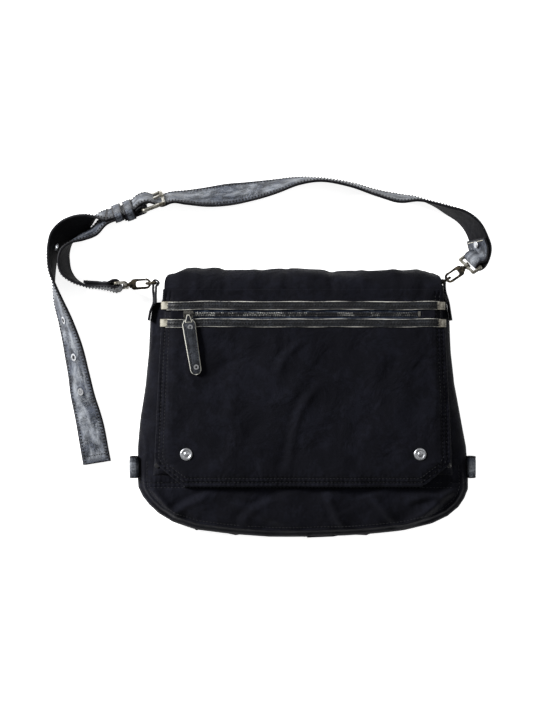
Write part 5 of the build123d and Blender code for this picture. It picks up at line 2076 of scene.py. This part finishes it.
    @staticmethod
    def half_turn(middle: Path, ahead: np.ndarray, radius: float) -> Path:
        """Half circle about a bar: out of the face, round ahead, and back under.

        Args:
            middle: Path at the bar's middle.
            ahead: Direction beyond the bar.
            radius: Radius of the bend.

        Returns:
            Path of the bend.
        """
        turn = np.linspace(0, np.pi, 13)[:, None]
        normal = np.cos(turn) * middle.normal + np.sin(turn) * ahead
        across = np.broadcast_to(middle.across[0], normal.shape)
        return Path(middle.at + normal * radius, normal, across)

    def folded_end(self, node: str, bend: Path, inner: Path) -> None:
        """The ply that turns round a bar and lies back against the strap, in two layers.

        Args:
            node: Name of the CAD node.
            bend: Path of the bend.
            inner: Path of the inner ply.
        """
        under = inner.turned_over()
        fine = Path(*[np.concatenate([a[:-1], b]) for a, b in
                      zip((bend.at, bend.normal, bend.across), (under.at, under.normal, under.across))])
        fine = fine.refined(1.0)
        grids = [Strip(self.wide, self.leather, groove=4.0).skin(fine.shifted(0.5), 6)]
        piece = write_mesh(f"{node}_leather", grids, WORN.material())
        place(piece, Body.STRAP, "worn_leather", node)
        lining = Strip(self.wide - 0.8, self.backing).skin(fine.shifted(-1.1), 6)
        place(write_mesh(f"{node}_backing", [lining], WEBBING.material()), Body.STRAP, "webbing")
        last = fine.at[-1] + fine.normal[-1] * 1.65
        ahead = unit(fine.at[-1] - fine.at[-3])
        spots = np.linspace(-self.wide / 2 + 2, self.wide / 2 - 2, 20)[:, None]
        row = Path(last - ahead * 3 + fine.across[-1] * spots, np.repeat(fine.normal[-1:], 20, 0),
                   np.repeat(ahead[None], 20, 0))
        stitches(f"{node}_cream_stitches", [row], Stitching(3.2, 2.4, 1.0), CREAM_THREAD, Body.STRAP)

    def make_tail(self) -> None:
        """Free end of the billet, lying back past the bag's side."""
        root = self.at_buckle(-self.exit, self.step + 1.2, 180)
        route = [root] + [Spot(*spot) for spot in self.tail_route]
        path = Route(route, 1).path()
        start = tuple(path.at[0] * MM)
        end = tuple((path.at[3] + path.at[2]) / 2 * MM)
        nodes = ("strap_tail_leather", "strap_tail_backing")
        fine = self.two_plies("strap_tail", path, Body.TAIL, 9, nodes, blend=(start, end),
                              holes=eyelet_middles("tail_eyelets"))
        run = fine.lengths()
        spot = int(np.searchsorted(run, run[-1] - 11.0))
        across = np.linspace(-self.wide / 2 + 3, self.wide / 2 - 3, 20)[:, None]
        ahead = unit(fine.at[spot] - fine.at[spot - 2])
        at = fine.at[spot] + fine.normal[spot] * (self.thick / 2 + 0.1) + fine.across[spot] * across
        row = Path(at, np.repeat(fine.normal[spot][None], 20, 0), np.repeat(ahead[None], 20, 0))
        stitches("strap_tail_end_stitches", [row], Stitching(3.4, 2.5, 0.9, 25), BLACK_THREAD, Body.TAIL)

    def make_keepers(self) -> None:
        """Two leather loops round the plies behind the buckle."""
        turn = np.radians(self.buckle_aim)
        along = np.array([np.cos(turn), np.sin(turn), 0.0])
        middle = Route([self.at_buckle(0, 0, self.buckle_aim)], -1).path()
        normal, upper = middle.normal[0], middle.across[0]
        clear = self.thick / 2 + self.keeper_clear
        sizes = (("fixed", 17.0, -self.step - clear, Body.STRAP),
                 ("loose", 31.0, -clear, Body.LOOSE_KEEPER))
        for name, back, low, body in sizes:
            high = self.step + clear
            angle = np.radians(np.arange(0, 360, 4.0))
            tall, wide = (high - low) / 2, self.wide / 2 + self.keeper_clear
            bow = np.abs(np.sin(angle)) ** 0.35 * np.sign(np.sin(angle)) * tall
            side = np.abs(np.cos(angle)) ** 0.35 * np.sign(np.cos(angle)) * wide
            centre = middle.at[0] - along * back + normal * ((high + low) / 2)
            at = centre + normal * bow[:, None] + upper * side[:, None]
            faces = normal * (np.sin(angle) ** 3)[:, None] + upper * (np.cos(angle) ** 3)[:, None]
            path = Path(at, unit(faces), np.broadcast_to(along, at.shape))
            skin = Strip(self.keeper_wide, self.keeper_thick, groove=2.0, ring=True).skin(path, seed=14)
            piece = write_mesh(f"keeper_{name}_leather", [skin], WORN.material())
            place(piece, body, "worn_leather", f"keeper_{name}")


# ---- hardware and studio -------------------------------------------------------------------
@dataclass(frozen=True)
class Hardware:
    """Metal parts: the CAD nodes themselves, given their finishes."""

    finishes: tuple = (
        (ZIP_METAL, "zip_metal", ("zip_slider", "zip_end_stop")),
        (SNAP_METAL, "snap_metal", ("snap_sockets", "snap_studs",
                                    "zip_pull_eyelets", "tail_eyelets", "chape_rivets")),
        (TEETH, "snap_metal", ("pocket_rivets",)),
        (NICKEL, "old_nickel", ("buckle_frame", "buckle_prong", "hook_eye_left", "hook_eye_right")),
        (BRASS, "old_brass", ("ring_left", "ring_right", "hook_body_left", "hook_body_right",
                              "hook_gate_left", "hook_gate_right")),
    )

    def make(self) -> None:
        """Paints each metal node."""
        for finish, slot, names in self.finishes:
            for name in names:
                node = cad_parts[name]
                node.data.materials.clear()
                node.data.materials.append(finish.material())
            log.info("%s on %d nodes", slot, len(names))


@dataclass(frozen=True)
class Lamp:
    """A soft square lamp."""

    name: str
    at: tuple[float, float, float]
    size: float
    power: float

    def make(self, target: tuple[float, float, float]) -> None:
        """Adds the lamp, turned to the target.

        Args:
            target: Place that it shines on.
        """
        data = bpy.data.lights.new(self.name, "AREA")
        data.size, data.energy = self.size, self.power
        lamp = bpy.data.objects.new(self.name, data)
        bpy.context.scene.collection.objects.link(lamp)
        lamp.location = self.at
        aim = Vector(target) - Vector(self.at)
        lamp.rotation_euler = aim.to_track_quat("-Z", "Y").to_euler()
        log.info("lamp %s", self.name)


@dataclass(frozen=True)
class Studio:
    """White ground, soft light and a camera straight above."""

    target: tuple[float, float, float] = (-0.0438, 0.0558, 0.04)
    high: float = 2.132
    lens: float = 90.0
    sky: float = 0.22
    lamps: tuple[Lamp, ...] = (
        Lamp("key", (-1.75, 0.85, 1.05), 0.5, 92.0),
        Lamp("fill", (1.0, 0.4, 2.0), 1.2, 8.0),
    )

    def make(self) -> None:
        """Builds the ground, the lamps and the camera."""
        scene = bpy.context.scene
        scene.view_settings.view_transform = "Standard"
        world = bpy.data.worlds.new("studio")
        world.use_nodes = True
        world.node_tree.nodes["Background"].inputs[0].default_value = (1.0, 1.0, 1.0, 1.0)
        world.node_tree.nodes["Background"].inputs[1].default_value = self.sky
        scene.world = world
        edge = np.linspace(-9000, 9000, 3)
        x, y = np.meshgrid(edge, edge)
        points = np.stack([x, y, 0 * x - 0.05], -1)
        floor = write_mesh("floor", [sheet_grid(points)], GROUND.material(), facing=UP)
        for lamp in self.lamps:
            lamp.make(self.target)
        data = bpy.data.cameras.new("camera")
        data.lens = self.lens
        camera = bpy.data.objects.new("camera", data)
        scene.collection.objects.link(camera)
        camera.location = (self.target[0], self.target[1], self.target[2] + self.high)
        scene.camera = camera


@dataclass
class Scene:
    """The whole picture: bag, strap, metal and studio."""

    shell: Shell = field(default_factory=Shell)
    flap: Flap = field(default_factory=Flap)
    puller: ZipPull = field(default_factory=ZipPull)
    strap: Strap = field(default_factory=Strap)
    hardware: Hardware = field(default_factory=Hardware)
    studio: Studio = field(default_factory=Studio)

    def make(self) -> None:
        """Builds every part."""
        for part in (self.shell, self.flap, self.puller, self.strap, self.hardware, self.studio):
            log.info("building %s", type(part).__name__)
            part.make()
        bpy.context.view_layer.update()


def main() -> None:
    """Builds the scene."""
    logging.basicConfig(level=logging.INFO, format="%(message)s")
    Scene().make()


if __name__ == "__main__":
    main()
